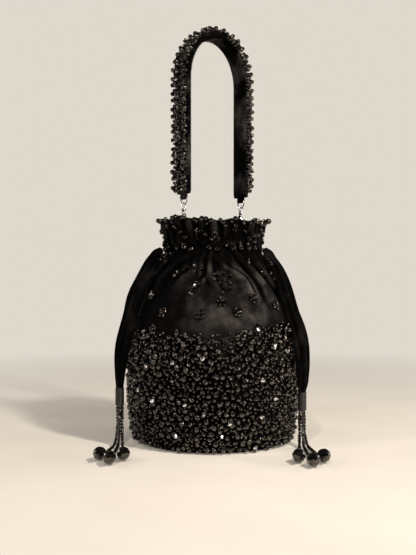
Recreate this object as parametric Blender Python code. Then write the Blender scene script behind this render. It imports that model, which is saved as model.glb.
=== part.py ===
"""Potli bag: a round gathered pouch of black velvet with a beaded body and a ruffled collar,
two drawstring ribbons that end in bead tassels, and a beaded strap handle on swivel clasps.

Metres and degrees, +Z up. The origin is on the pouch's axis, in the plane that it stands on."""
import math

import bmesh
import bpy
from mathutils import Matrix, Vector

# Pouch: height and radius of the velvet at each station, without folds and beads
BASE_RADIUS = 0.0725
HEM_HEIGHT = 0.0120
HEM_RADIUS = 0.0772
BELLY_HEIGHT = 0.0600
BELLY_RADIUS = 0.0807
SHOULDER_HEIGHT = 0.1120
SHOULDER_RADIUS = 0.0790
SLOPE_HEIGHT = 0.1500
SLOPE_RADIUS = 0.0630
YOKE_HEIGHT = 0.1740
YOKE_RADIUS = 0.0540
NECK_HEIGHT = 0.1880
NECK_RADIUS = 0.0460
COLLAR_HEIGHT = 0.0285
RIM_HEIGHT = NECK_HEIGHT + COLLAR_HEIGHT
RIM_RADIUS = 0.0500
CLOTH = 0.0016

# Folds: how far they stand from the mean cloth, and how many run round the pouch
FOLDS = 16
YOKE_FOLD = 0.0034
NECK_FOLD = 0.0016
RIM_FOLD = 0.0026
SLOW_FOLD_SHARE = 0.28

# Bead embroidery
COLUMNS = 64
SKIRT_ROWS = 12
SHOULDER_ROWS = 9
COLLAR_ROWS = 4
NECK_BAND = 0.0060
BEAD_LINE = 0.1050
BEAD_LINE_RISE = 0.0120
SKIRT_BEAD = 0.0043
NECK_BEAD = 0.0034
RIM_BEAD = 0.0032
FLOWER_BEAD = 0.0042
FRONT_FLOWERS = ((-157, 0.124), (-148, 0.143), (-128, 0.126), (-124, 0.160), (-109, 0.168),
                 (-105, 0.150), (-100, 0.127), (-87, 0.157), (-82, 0.138), (-73, 0.128),
                 (-57, 0.140), (-35, 0.132), (-31, 0.163), (-12, 0.150))
BACK_TURN = 180

# Inside of the pouch
CLEARANCE = 0.0003
LINING_CLEARANCE = 0.0005
PANEL_THICKNESS = 0.0020
BOARD_THICKNESS = 0.0020
LINING_THICKNESS = 0.0010
FACING_RISE = 0.0120
LINING_COLUMNS = 32
DRAWSTRING_HEIGHT = 0.0050
DRAWSTRING_THICKNESS = 0.0010

# Handle: its plane stands upright through the pouch's axis, turned about it
HANDLE_YAW = 34
STRAP_WIDTH = 0.0210
STRAP_THICKNESS = 0.0060
STRAP_EDGE = 0.0015
STRAP_BEAD = 0.0050
STRAP_STEPS = 44
STRAP_COLUMNS = 3
LEG_LENGTH = 0.1125
ARCH_HEIGHT = 0.0460

# Handle hardware
HANGER_REACH = 0.0053
HANGER_WIDTH = 0.0040
HANGER_TAPE = 0.0012
HANGER_FOOT = 0.0135
RING_RADIUS = 0.0050
RING_WIRE = 0.0008
RING_RISE = 0.0020
HOOK_WIRE = 0.00075
HOOK_RADIUS = 0.0026
HOOK_SIDE = 0.0042
HOOK_NOSE = 0.0005
BARREL_RADIUS = 0.0025
BARREL_LENGTH = 0.0020
POST_RADIUS = 0.0008
POST_HEAD_RADIUS = 0.0013
POST_HEAD_LENGTH = 0.0007
EYE_RADIUS = 0.0023
EYE_WIRE = 0.0006
EYE_COLLAR_RADIUS = 0.0016
EYE_COLLAR_LENGTH = 0.0008
GATE_GAP = 0.0004
GATE_PIVOT_DROP = 0.0005
GATE_THICKNESS = 0.0012
GATE_WIDTH = 0.0014
THUMB_REACH = 0.0016
D_RING_WIDTH = 0.0120
D_RING_HEIGHT = 0.0070
D_RING_WIRE = 0.0007
TAB_WIDTH = 0.0080
TAB_TAPE = 0.0012
TAB_STEM = 0.0010

# Drawstring ribbons: points of each route as x, y, z and the ribbon's radius there
RIBBON_LEFT = ((-0.0512, 0.0000, 0.1888, 0.0020), (-0.0560, -0.0010, 0.1862, 0.0028),
               (-0.0602, -0.0040, 0.1790, 0.0034), (-0.0655, -0.0085, 0.1680, 0.0046),
               (-0.0715, -0.0145, 0.1545, 0.0056), (-0.0778, -0.0220, 0.1400, 0.0060),
               (-0.0825, -0.0300, 0.1210, 0.0060), (-0.0859, -0.0340, 0.1005, 0.0060),
               (-0.0884, -0.0360, 0.0780, 0.0060), (-0.0890, -0.0360, 0.0660, 0.0052),
               (-0.0893, -0.0360, 0.0600, 0.0046), (-0.0893, -0.0360, 0.0545, 0.0040))
RIBBON_RIGHT = ((0.0512, 0.0000, 0.1888, 0.0020), (0.0550, -0.0012, 0.1860, 0.0028),
                (0.0600, -0.0050, 0.1785, 0.0032), (0.0645, -0.0110, 0.1670, 0.0042),
                (0.0690, -0.0180, 0.1530, 0.0050), (0.0745, -0.0270, 0.1360, 0.0052),
                (0.0820, -0.0360, 0.1120, 0.0052), (0.0838, -0.0390, 0.0900, 0.0054),
                (0.0850, -0.0400, 0.0740, 0.0056), (0.0843, -0.0400, 0.0620, 0.0050),
                (0.0843, -0.0400, 0.0560, 0.0046), (0.0843, -0.0400, 0.0505, 0.0040))
RIBBON_STEPS = 17

# Tassels: a thread wrap, then three bead strands that run down and forward on the surface
WRAP_RADIUS = 0.0046
WRAP_LENGTH = 0.0155
STRAND_RADIUS = 0.0020
STRAND_STEPS = 16
STRAND_BEND = 0.0200
STRAND_SPREAD = 0.0025
SIDE_STRAND_LENGTH = 0.0770
MIDDLE_STRAND_LENGTH = 0.0880
TASSEL_FAN = 7
SPACER_RADIUS = 0.0026
SPACER_LENGTH = 0.0026
DROP_RADIUS = 0.0060
DROP_NECK = 0.0016
DROP_LENGTH = 0.0210
DROP_WAIST = 0.62
END_BEAD_RADIUS = 0.0021
FACETS = 8


def finish(name, color, roughness, metallic=0.0, coat=0.0):
    """A plain surface finish."""
    material = bpy.data.materials.new(name)
    material.use_nodes = True
    shader = material.node_tree.nodes["Principled BSDF"]
    shader.inputs["Base Color"].default_value = (*color, 1.0)
    shader.inputs["Roughness"].default_value = roughness
    shader.inputs["Metallic"].default_value = metallic
    shader.inputs["Coat Weight"].default_value = coat
    material.diffuse_color = (*color, 1.0)
    return material


def add_object(name, mesh, material, turn=None):
    """Put a mesh into the scene under its part's name; turn is its world matrix."""
    part = bpy.data.objects.new(name, mesh)
    bpy.context.scene.collection.objects.link(part)
    if turn is not None:
        part.matrix_world = turn
    if material is not None:
        part.data.materials.append(material)
    return part


def mesh_from(name, shape, smooth_angle=None):
    """Turn a bmesh into a mesh with outward faces."""
    bmesh.ops.recalc_face_normals(shape, faces=shape.faces)
    mesh = bpy.data.meshes.new(name)
    shape.to_mesh(mesh)
    shape.free()
    if smooth_angle is not None:
        mesh.shade_smooth()
        mesh.set_sharp_from_angle(angle=math.radians(smooth_angle))
    return mesh


def ring_faces(shape, lower, upper):
    """Close the band between two loops of as many points."""
    count = len(lower)
    faces = []
    for i in range(count):
        j = (i + 1) % count
        faces.append(shape.faces.new((lower[i], lower[j], upper[j], upper[i])))
    return faces


def smooth_profile(stations):
    """A curve through (height, radius) stations that never swings past one."""
    steps = [(b[1] - a[1]) / (b[0] - a[0]) for a, b in zip(stations, stations[1:])]
    slopes = [steps[0]]
    for before, after in zip(steps, steps[1:]):
        same_way = before * after > 0
        slopes.append(2 * before * after / (before + after) if same_way else 0.0)
    slopes.append(steps[-1])

    def radius(height):
        height = min(max(height, stations[0][0]), stations[-1][0])
        span = max(i for i in range(len(stations) - 1) if height >= stations[i][0])
        (low, start), (high, end) = stations[span], stations[span + 1]
        run = high - low
        t = (height - low) / run
        rise_out = t ** 3 - 2 * t ** 2 + t
        rise_in = t ** 3 - t ** 2
        blend = 3 * t ** 2 - 2 * t ** 3
        return (start * (1 - blend) + end * blend
                + run * (slopes[span] * rise_out + slopes[span + 1] * rise_in))

    return radius


cloth_radius = smooth_profile(((0.0, BASE_RADIUS), (HEM_HEIGHT, HEM_RADIUS),
                               (BELLY_HEIGHT, BELLY_RADIUS), (SHOULDER_HEIGHT, SHOULDER_RADIUS),
                               (SLOPE_HEIGHT, SLOPE_RADIUS), (YOKE_HEIGHT, YOKE_RADIUS),
                               (NECK_HEIGHT, NECK_RADIUS), (RIM_HEIGHT, RIM_RADIUS)))
fold_depth = smooth_profile(((0.0, 0.0), (BEAD_LINE, 0.0), (YOKE_HEIGHT, YOKE_FOLD),
                             (NECK_HEIGHT, NECK_FOLD), (RIM_HEIGHT, RIM_FOLD)))


def fold(angle, height):
    """How far the cloth stands out of its mean radius; the folds pair up below the yoke."""
    gathered = min(max((height - SLOPE_HEIGHT) / (YOKE_HEIGHT - SLOPE_HEIGHT), 0.0), 1.0)
    fine = math.cos(FOLDS * angle)
    paired = math.cos(FOLDS / 2 * angle)
    slow = math.cos(5 * angle + 0.8)
    wave = gathered * fine + (1 - gathered) * paired
    return fold_depth(height) * ((1 - SLOW_FOLD_SHARE) * wave + SLOW_FOLD_SHARE * slow)


def even(low, high, count):
    """Heights from low to high in equal steps, without the last one."""
    return [low + (high - low) * i / count for i in range(count)]


def inner_radius(height):
    """The smallest radius that the cloth's inside comes to."""
    return cloth_radius(height) - fold_depth(height) - CLOTH


def lining_radius(height):
    return inner_radius(height) - LINING_CLEARANCE


def pouch_heights():
    """Rows of the velvet from the base to the rim."""
    neck_low = NECK_HEIGHT - NECK_BAND / 2
    neck_high = NECK_HEIGHT + NECK_BAND / 2
    return (even(0.0, BEAD_LINE, SKIRT_ROWS) + even(BEAD_LINE, neck_low, SHOULDER_ROWS)
            + [neck_low] + even(neck_high, RIM_HEIGHT, COLLAR_ROWS) + [RIM_HEIGHT])


def skin_point(angle, height, depth):
    radius = cloth_radius(height) + fold(angle, height) - depth
    return Vector((radius * math.cos(angle), radius * math.sin(angle), height))


def bead_line(angle):
    """The embroidery climbs towards the right-hand side."""
    return BEAD_LINE + BEAD_LINE_RISE * max(math.cos(angle + math.radians(25)), 0.0) ** 2


def is_flower(angle, height, pitch):
    """Whether a cell of the velvet carries one of the scattered bead flowers."""
    for turn in (0, BACK_TURN):
        for azimuth, place in FRONT_FLOWERS:
            away = (math.degrees(angle) - azimuth - turn + 180) % 360 - 180
            if abs(away) <= 180 / COLUMNS and abs(height - place) <= pitch / 2:
                return True
    return False


def bead_height(angle, row, low, high):
    """How far the beads of one cell stand out, or nothing where the velvet is bare."""
    neck_row = SKIRT_ROWS + SHOULDER_ROWS
    middle = (low + high) / 2
    if row == neck_row:
        return NECK_BEAD
    if row == neck_row + COLLAR_ROWS:
        return RIM_BEAD
    if middle < bead_line(angle):
        return SKIRT_BEAD
    if row < neck_row and is_flower(angle, middle, high - low):
        return FLOWER_BEAD
    return 0.0


def pouch_mesh():
    """The velvet side: outer skin with its beads, then the rim, the inside and the hem."""
    shape = bmesh.new()
    heights = pouch_heights()
    pitch = 2 * math.pi / COLUMNS
    outer = []
    for row, height in enumerate(heights):
        offset = min(row, SKIRT_ROWS) / 2
        outer.append([shape.verts.new(skin_point((i + offset) * pitch, height, 0.0))
                      for i in range(COLUMNS)])
    for row in range(len(heights) - 1):
        for face in ring_faces(shape, outer[row], outer[row + 1]):
            center = face.calc_center_median()
            angle = math.atan2(center.y, center.x)
            stand = bead_height(angle, row, heights[row], heights[row + 1])
            if stand:
                out = Vector((center.x, center.y, 0.0)).normalized()
                tip = bmesh.ops.poke(shape, faces=[face])["verts"][0]
                tip.co = center + out * stand
    shift = SKIRT_ROWS // 2
    loops = [list(outer[0])]
    for row in inner_rows() + [len(heights) - 1]:
        loops.append([shape.verts.new(skin_point(i * pitch, heights[row], CLOTH))
                      for i in range(COLUMNS)])
    top = outer[-1]
    loops.append([top[(i - shift) % COLUMNS] for i in range(COLUMNS)])
    for below, above in zip(loops, loops[1:]):
        ring_faces(shape, below, above)
    return mesh_from("pouch", shape, 40)


def turned(name, outline, columns, smooth_angle=40):
    """A closed body turned about Z from an outline of (radius, z); radius 0 is a pole."""
    shape = bmesh.new()
    rings = []
    for radius, z in outline:
        if radius == 0.0:
            rings.append([shape.verts.new((0.0, 0.0, z))])
            continue
        rings.append([shape.verts.new((radius * math.cos(2 * math.pi * i / columns),
                                       radius * math.sin(2 * math.pi * i / columns), z))
                      for i in range(columns)])
    if len(rings[0]) > 1:
        rings.append(rings[0])
    for below, above in zip(rings, rings[1:]):
        if len(below) == 1 or len(above) == 1:
            pole, rim = (below[0], above) if len(below) == 1 else (above[0], below)
            for i in range(columns):
                shape.faces.new((pole, rim[i], rim[(i + 1) % columns]))
        else:
            ring_faces(shape, below, above)
    return mesh_from(name, shape, smooth_angle)


def disc_outline(radius, low, high):
    return [(0.0, low), (radius, low), (radius, high), (0.0, high)]


def inner_rows():
    """Rows that the inside of the velvet and the lining share."""
    neck_row = SKIRT_ROWS + SHOULDER_ROWS
    return ([0, 2, SKIRT_ROWS // 2, SKIRT_ROWS] + list(range(SKIRT_ROWS + 2, neck_row, 2))
            + [neck_row, neck_row + 1, neck_row + 3])


def lining_mesh():
    """The satin bag inside, which narrows behind the drawstring channel."""
    floor = PANEL_THICKNESS + BOARD_THICKNESS + 2 * CLEARANCE
    channel = DRAWSTRING_HEIGHT + 2 * LINING_CLEARANCE
    heights = [pouch_heights()[row] for row in inner_rows()]
    body = [(lining_radius(z), z) for z in heights[1:] if z < NECK_HEIGHT - channel - CLEARANCE]
    low_radius, low = body[0]
    floor_radius = lining_radius(0.0) + (low_radius - lining_radius(0.0)) * floor / low
    outer = [(floor_radius, floor)] + body
    facing = channel_radius()
    outer += [(facing, NECK_HEIGHT - channel), (facing, NECK_HEIGHT + FACING_RISE)]
    inner = [(radius - LINING_THICKNESS, z) for radius, z in outer[1:]]
    floor_inside = floor + LINING_THICKNESS
    outline = ([(0.0, floor)] + outer + inner[::-1]
               + [(floor_radius - LINING_THICKNESS, floor_inside), (0.0, floor_inside)])
    return turned("lining", outline, LINING_COLUMNS)


def channel_radius():
    """The lining's radius behind the drawstring channel."""
    lowest = min(inner_radius(NECK_HEIGHT + side * NECK_BAND) for side in (-1, 0, 1))
    return lowest - 2 * LINING_CLEARANCE - DRAWSTRING_THICKNESS


def drawstring_mesh(name, low):
    outer = channel_radius() + LINING_CLEARANCE + DRAWSTRING_THICKNESS
    inner = outer - DRAWSTRING_THICKNESS
    high = low + DRAWSTRING_HEIGHT
    outline = [(outer, low), (outer, high), (inner, high), (inner, low)]
    return turned(name, outline, LINING_COLUMNS)


def wire(name, points, plane_normal, radius, sides=6, closed=False):
    """A round wire along points that lie in one plane."""
    shape = bmesh.new()
    count = len(points)
    rings = []
    for i, point in enumerate(points):
        if closed:
            along = points[(i + 1) % count] - points[i - 1]
        else:
            along = points[min(i + 1, count - 1)] - points[max(i - 1, 0)]
        across = along.normalized().cross(plane_normal)
        ring = []
        for k in range(sides):
            angle = 2 * math.pi * (k + 0.5) / sides
            offset = across * math.cos(angle) + plane_normal * math.sin(angle)
            ring.append(shape.verts.new(point + offset * radius))
        rings.append(ring)
    for below, above in zip(rings, rings[1:]):
        ring_faces(shape, below, above)
    if closed:
        ring_faces(shape, rings[-1], rings[0])
    else:
        shape.faces.new(rings[0])
        shape.faces.new(rings[-1])
    return mesh_from(name, shape, 50)


def arc(center_a, center_b, radius, start, end, steps):
    """Points (a, b) along a round arc, in degrees."""
    points = []
    for i in range(steps + 1):
        angle = math.radians(start + (end - start) * i / steps)
        points.append((center_a + radius * math.cos(angle), center_b + radius * math.sin(angle)))
    return points


def tape_loop(name, hole, tape, width, stem, foot_shift=0.0):
    """A tape folded round a wire, its eye at the origin along X, with a stem of the given
    length upwards (or downwards where it is negative) whose end is moved along X."""
    shape = bmesh.new()
    outer_radius = hole + tape
    steps = 12
    outer = []
    for i in range(steps):
        angle = 2 * math.pi * (i + 0.5) / steps
        outer.append([outer_radius * math.cos(angle), outer_radius * math.sin(angle)])
    side = 1 if stem > 0 else -1
    stem_points = [p for p in outer if p[1] * side > outer_radius * 0.9]
    for point in stem_points:
        point[1] = side * outer_radius + stem
    ends = []
    for x in (-width / 2, width / 2):
        outside = [shape.verts.new((x + (foot_shift if p in stem_points else 0.0), *p))
                   for p in outer]
        inside = [shape.verts.new((x, hole * math.cos(2 * math.pi * (i + 0.5) / steps),
                                   hole * math.sin(2 * math.pi * (i + 0.5) / steps)))
                  for i in range(steps)]
        ends.append((outside, inside))
    (outside_a, inside_a), (outside_b, inside_b) = ends
    ring_faces(shape, outside_a, outside_b)
    ring_faces(shape, inside_a, inside_b)
    ring_faces(shape, outside_a, inside_a)
    ring_faces(shape, outside_b, inside_b)
    return mesh_from(name, shape, 50)


def tool_object(mesh, turn, name):
    """A body that only cuts or joins another one."""
    guide = add_object(name, mesh, None, turn)
    guide.hide_render = True
    guide.display_type = "WIRE"
    return guide


def combine(part, guide, operation):
    step = part.modifiers.new(operation.lower(), "BOOLEAN")
    step.operation = operation
    step.solver = "EXACT"
    step.object = guide


def rod_mesh(name, radius, low, high, sides=12):
    return turned(name, disc_outline(radius, low, high), sides)


def strap_path():
    """Centreline of the strap as (across, height) points, evenly spaced: leg, arch, leg."""
    half = handle_half_span()
    start = strap_end_height()
    top = start + LEG_LENGTH
    fine = [(-half, start), (-half, top)]
    fine += [(-half * math.cos(math.pi * i / 180), top + ARCH_HEIGHT * math.sin(math.pi * i / 180))
             for i in range(1, 180)]
    fine += [(half, top), (half, start)]
    lengths = [math.dist(a, b) for a, b in zip(fine, fine[1:])]
    total = sum(lengths)
    points = []
    span = 0
    passed = 0.0
    for i in range(STRAP_STEPS + 1):
        goal = total * i / STRAP_STEPS
        while span < len(lengths) - 1 and passed + lengths[span] < goal:
            passed += lengths[span]
            span += 1
        t = min((goal - passed) / lengths[span], 1.0)
        (a, b), (c, d) = fine[span], fine[span + 1]
        points.append(Vector((a + (c - a) * t, 0.0, b + (d - b) * t)))
    return points


def strap_section():
    """Section as (outward, across) points: the beaded face first, then edge, back, edge."""
    half = STRAP_THICKNESS / 2
    width = STRAP_WIDTH / 2
    flat = width - STRAP_EDGE
    face = [(half, -flat + 2 * flat * i / STRAP_COLUMNS) for i in range(STRAP_COLUMNS + 1)]
    edge = half - STRAP_EDGE
    return face + [(edge, width), (-edge, width), (-half, flat), (-half, -flat),
                   (-edge, -width), (edge, -width)]


def strap_mesh():
    """The padded strap, with a bead on each cell of its outer face."""
    shape = bmesh.new()
    points = strap_path()
    section = strap_section()
    rings = []
    outward = []
    for i, point in enumerate(points):
        along = (points[min(i + 1, STRAP_STEPS)] - points[max(i - 1, 0)]).normalized()
        out = Vector((-along.z, 0.0, along.x))
        outward.append(out)
        rings.append([shape.verts.new(point + out * a + Vector((0.0, b, 0.0)))
                      for a, b in section])
    for i in range(STRAP_STEPS):
        band = ring_faces(shape, rings[i], rings[i + 1])
        out = (outward[i] + outward[i + 1]).normalized()
        for face in band[:STRAP_COLUMNS]:
            center = face.calc_center_median()
            tip = bmesh.ops.poke(shape, faces=[face])["verts"][0]
            tip.co = center + out * STRAP_BEAD
    shape.faces.new(rings[0])
    shape.faces.new(rings[-1])
    return mesh_from("handle_strap", shape, 40)


def handle_half_span():
    """Each clasp hangs just inside the lining of the neck."""
    return channel_radius() - LINING_THICKNESS - HANGER_REACH


def swing_height():
    return RIM_HEIGHT + RING_RISE


def hook_center():
    """Centre of the hook's round bottom, above the ring's wire that it hangs on."""
    return HOOK_RADIUS - HOOK_WIRE - CLEARANCE - RING_WIRE


def barrel_low():
    return hook_center() + HOOK_SIDE + HOOK_RADIUS - HOOK_WIRE


def eye_center():
    return barrel_low() + BARREL_LENGTH + CLEARANCE + EYE_COLLAR_LENGTH + EYE_RADIUS - EYE_WIRE / 2


def d_ring_low():
    return eye_center() + EYE_RADIUS - EYE_WIRE - CLEARANCE - D_RING_WIRE


def strap_end_height():
    bar = swing_height() + d_ring_low() + D_RING_HEIGHT
    return bar + D_RING_WIRE + CLEARANCE + TAB_TAPE + TAB_STEM + CLEARANCE


def add_pouch(velvet, board, satin, ribbon):
    add_object("pouch", pouch_mesh(), velvet)
    panel_radius = BASE_RADIUS - CLOTH - LINING_CLEARANCE
    add_object("base_panel", turned("base_panel", disc_outline(panel_radius, 0.0, PANEL_THICKNESS),
                                    COLUMNS), velvet)
    board_low = PANEL_THICKNESS + CLEARANCE
    board_outline = disc_outline(panel_radius - CLEARANCE, board_low, board_low + BOARD_THICKNESS)
    add_object("base_board", turned("base_board", board_outline, LINING_COLUMNS), board)
    add_object("lining", lining_mesh(), satin)
    for name, low in (("drawstring_loop_upper", NECK_HEIGHT + CLEARANCE / 2),
                      ("drawstring_loop_lower", NECK_HEIGHT - CLEARANCE / 2 - DRAWSTRING_HEIGHT)):
        add_object(name, drawstring_mesh(name, low), ribbon)


def add_clasp(side, turn, steel, velvet, ribbon):
    """All that carries one end of the strap; turn has its origin on the swing axis."""
    across = Vector((1.0, 0.0, 0.0))
    facing = Vector((0.0, 1.0, 0.0))
    outward = 1 if side == "right" else -1
    ring = [Vector((a, 0.0, b)) for a, b in arc(0.0, -RING_RADIUS, RING_RADIUS, 90, 427.5, 15)]
    add_object(f"collar_ring_{side}", wire("ring", ring, facing, RING_WIRE, closed=True), steel, turn)

    foot_height = swing_height() - 2 * RING_RADIUS - HANGER_FOOT
    wall = (channel_radius() - LINING_THICKNESS) * math.cos(math.pi / LINING_COLUMNS)
    reach = wall - CLEARANCE - handle_half_span() - HANGER_WIDTH / 2
    eye = RING_WIRE + 2 * CLEARANCE
    stem = foot_height - swing_height() + 2 * RING_RADIUS + eye + HANGER_TAPE
    loop = tape_loop("hanger_loop", eye, HANGER_TAPE, HANGER_WIDTH, stem, outward * reach)
    loop_turn = turn @ Matrix.Translation((0.0, 0.0, -2 * RING_RADIUS))
    add_object(f"hanger_loop_{side}", loop, ribbon, loop_turn)

    low = hook_center()
    high = low + HOOK_SIDE
    path = [(HOOK_RADIUS, low + HOOK_NOSE)] + arc(0.0, low, HOOK_RADIUS, 0, -180, 8)
    path += arc(0.0, high, HOOK_RADIUS, 180, 0, 8)
    hook = wire("hook", [Vector((0.0, a, b)) for a, b in path], across, HOOK_WIRE)
    hook_part = add_object(f"clasp_hook_{side}", hook, steel, turn)
    barrel = rod_mesh("barrel", BARREL_RADIUS, barrel_low(), barrel_low() + BARREL_LENGTH)
    combine(hook_part, tool_object(barrel, turn, f"barrel_guide_{side}"), "UNION")
    bore = rod_mesh("bore", POST_RADIUS + CLEARANCE, high, barrel_low() + 2 * BARREL_LENGTH)
    combine(hook_part, tool_object(bore, turn, f"bore_guide_{side}"), "DIFFERENCE")

    gate_low = low + HOOK_NOSE + GATE_GAP
    gate_high = high - GATE_GAP
    pivot = gate_high - GATE_PIVOT_DROP
    thumb = (gate_low + pivot) / 2
    half = GATE_THICKNESS / 2
    gate_outline = [(-half, gate_low - pivot), (half, gate_low - pivot),
                    (half + THUMB_REACH, thumb - pivot), (half, thumb - pivot + half),
                    (half, gate_high - pivot), (-half, gate_high - pivot)]
    gate = plate("gate", gate_outline, GATE_WIDTH)
    add_object(f"clasp_gate_{side}", gate, steel,
               turn @ Matrix.Translation((0.0, HOOK_RADIUS, pivot)))

    collar_low = barrel_low() + BARREL_LENGTH + CLEARANCE
    collar_high = collar_low + EYE_COLLAR_LENGTH
    head_high = high + HOOK_RADIUS - HOOK_WIRE - CLEARANCE
    head_low = head_high - POST_HEAD_LENGTH
    post = [(0.0, head_low), (POST_HEAD_RADIUS, head_low), (POST_HEAD_RADIUS, head_high),
            (POST_RADIUS, head_high), (POST_RADIUS, collar_low), (EYE_COLLAR_RADIUS, collar_low),
            (EYE_COLLAR_RADIUS, collar_high), (0.0, collar_high)]
    eye_part = add_object(f"swivel_eye_{side}", turned("post", post, 12), steel, turn)
    eye_ring = [Vector((a, 0.0, b)) for a, b in arc(0.0, eye_center(), EYE_RADIUS, 0, 330, 11)]
    eye_mesh = wire("eye", eye_ring, facing, EYE_WIRE, closed=True)
    combine(eye_part, tool_object(eye_mesh, turn, f"eye_guide_{side}"), "UNION")

    bar = d_ring_low() + D_RING_HEIGHT
    half_bar = D_RING_WIDTH / 2
    bend = [(half_bar * math.cos(math.radians(a)), bar + D_RING_HEIGHT * math.sin(math.radians(a)))
            for a in range(0, -181, -20)]
    d_path = [Vector((0.0, a, b)) for a, b in bend + [(-half_bar / 2, bar), (half_bar / 2, bar)]]
    add_object(f"d_ring_{side}", wire("d_ring", d_path, across, D_RING_WIRE, closed=True), steel, turn)

    tab = tape_loop("tab", D_RING_WIRE + CLEARANCE, TAB_TAPE, TAB_WIDTH, TAB_STEM)
    across_turn = Matrix.Translation((0.0, 0.0, bar)) @ Matrix.Rotation(math.radians(90), 4, "Z")
    add_object(f"strap_tab_{side}", tab, velvet, turn @ across_turn)


def plate(name, outline, width):
    """A flat piece cut to an outline of (y, z), of the given width along X."""
    shape = bmesh.new()
    near = [shape.verts.new((-width / 2, y, z)) for y, z in outline]
    far = [shape.verts.new((width / 2, y, z)) for y, z in outline]
    shape.faces.new(near)
    shape.faces.new(far)
    ring_faces(shape, near, far)
    return mesh_from(name, shape)


def add_handle(velvet, steel, ribbon):
    yaw = Matrix.Rotation(math.radians(HANDLE_YAW), 4, "Z")
    add_object("handle_strap", strap_mesh(), velvet, yaw)
    for side, sign in (("left", -1), ("right", 1)):
        place = Matrix.Translation((sign * handle_half_span(), 0.0, swing_height()))
        add_clasp(side, yaw @ place, steel, velvet, ribbon)


def smooth_route(points, steps):
    """Points read evenly from a smooth curve through the route's own points."""
    points = [Vector(p) for p in points]
    padded = [2 * points[0] - points[1]] + points + [2 * points[-1] - points[-2]]
    fine = []
    per_span = 8
    for i in range(1, len(padded) - 2):
        a, b, c, d = padded[i - 1:i + 3]
        for k in range(per_span):
            t = k / per_span
            fine.append(0.5 * (2 * b + (c - a) * t + (2 * a - 5 * b + 4 * c - d) * t ** 2
                               + (3 * b - a - 3 * c + d) * t ** 3))
    fine.append(points[-1])
    lengths = [(q.xyz - p.xyz).length for p, q in zip(fine, fine[1:])]
    total = sum(lengths)
    route = []
    span = 0
    passed = 0.0
    for i in range(steps + 1):
        goal = total * i / steps
        while span < len(lengths) - 1 and passed + lengths[span] < goal:
            passed += lengths[span]
            span += 1
        route.append(fine[span].lerp(fine[span + 1], min((goal - passed) / lengths[span], 1.0)))
    return route


def tube(name, route, radius, material):
    """A cord along a route; a fourth value of a point scales its radius."""
    curve = bpy.data.curves.new(name, "CURVE")
    curve.dimensions = "3D"
    curve.bevel_depth = radius
    curve.bevel_resolution = 2
    curve.use_fill_caps = True
    spline = curve.splines.new("POLY")
    spline.points.add(len(route) - 1)
    for place, point in zip(spline.points, route):
        place.co = (point[0], point[1], point[2], 1.0)
        place.radius = point[3] / radius if len(point) > 3 else 1.0
    curve.materials.append(material)
    cord = bpy.data.objects.new(name, curve)
    bpy.context.scene.collection.objects.link(cord)
    return cord


def strand_route(x, y, top, length, heading):
    """Down from the wrap, through one round bend, then forward along the surface."""
    floor = STRAND_RADIUS
    drop = top - floor - STRAND_BEND
    bend_length = STRAND_BEND * math.pi / 2
    ahead = Vector((math.sin(math.radians(heading)), -math.cos(math.radians(heading)), 0.0))
    start = Vector((x, y, top))
    route = []
    for i in range(STRAND_STEPS + 1):
        run = length * i / STRAND_STEPS
        if run < drop:
            route.append(start - Vector((0.0, 0.0, run)))
            continue
        turn = min((run - drop) / STRAND_BEND, math.pi / 2)
        beyond = max(run - drop - bend_length, 0.0)
        forward = STRAND_BEND * (1 - math.cos(turn)) + beyond
        sunk = drop + STRAND_BEND * math.sin(turn)
        route.append(start + ahead * forward - Vector((0.0, 0.0, sunk)))
    return route, ahead


def drop_outline():
    """Teardrop from its narrow end at z = 0 to its round end."""
    waist = DROP_LENGTH * DROP_WAIST
    return [(0.0, 0.0), (DROP_NECK, 0.0), (DROP_RADIUS * 0.62, waist * 0.45),
            (DROP_RADIUS, waist), (DROP_RADIUS * 0.88, DROP_LENGTH * 0.82),
            (DROP_NECK, DROP_LENGTH), (0.0, DROP_LENGTH)]


def bead_outline(radius, length):
    flat = radius * 0.55
    return [(0.0, 0.0), (flat, 0.0), (radius, length * 0.3), (radius, length * 0.7),
            (flat, length), (0.0, length)]


def add_strand(name, start, top, length, heading, black):
    """One bead strand with its spacer, drop and end bead lying in line beyond it."""
    route, ahead = strand_route(*start, top, length, heading)
    tube(f"strand_{name}", route, STRAND_RADIUS, black)
    tilt = math.asin((DROP_RADIUS - SPACER_RADIUS) / (DROP_LENGTH * DROP_WAIST + SPACER_LENGTH))
    axis = ahead * math.cos(tilt) + Vector((0.0, 0.0, math.sin(tilt)))
    turn = Vector((0.0, 0.0, 1.0)).rotation_difference(axis).to_matrix().to_4x4()
    place = route[-1] + ahead * (CLEARANCE + SPACER_RADIUS * math.sin(tilt))
    place.z = SPACER_RADIUS * 1.05
    pieces = (("spacer", bead_outline(SPACER_RADIUS, SPACER_LENGTH), SPACER_LENGTH),
              ("drop", drop_outline(), DROP_LENGTH),
              ("end_bead", bead_outline(END_BEAD_RADIUS, 2 * END_BEAD_RADIUS), 0.0))
    for kind, outline, run in pieces:
        mesh = turned(kind, outline, FACETS, 20)
        add_object(f"{kind}_{name}", mesh, black, Matrix.Translation(place) @ turn)
        place = place + axis * (run + CLEARANCE)


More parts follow.
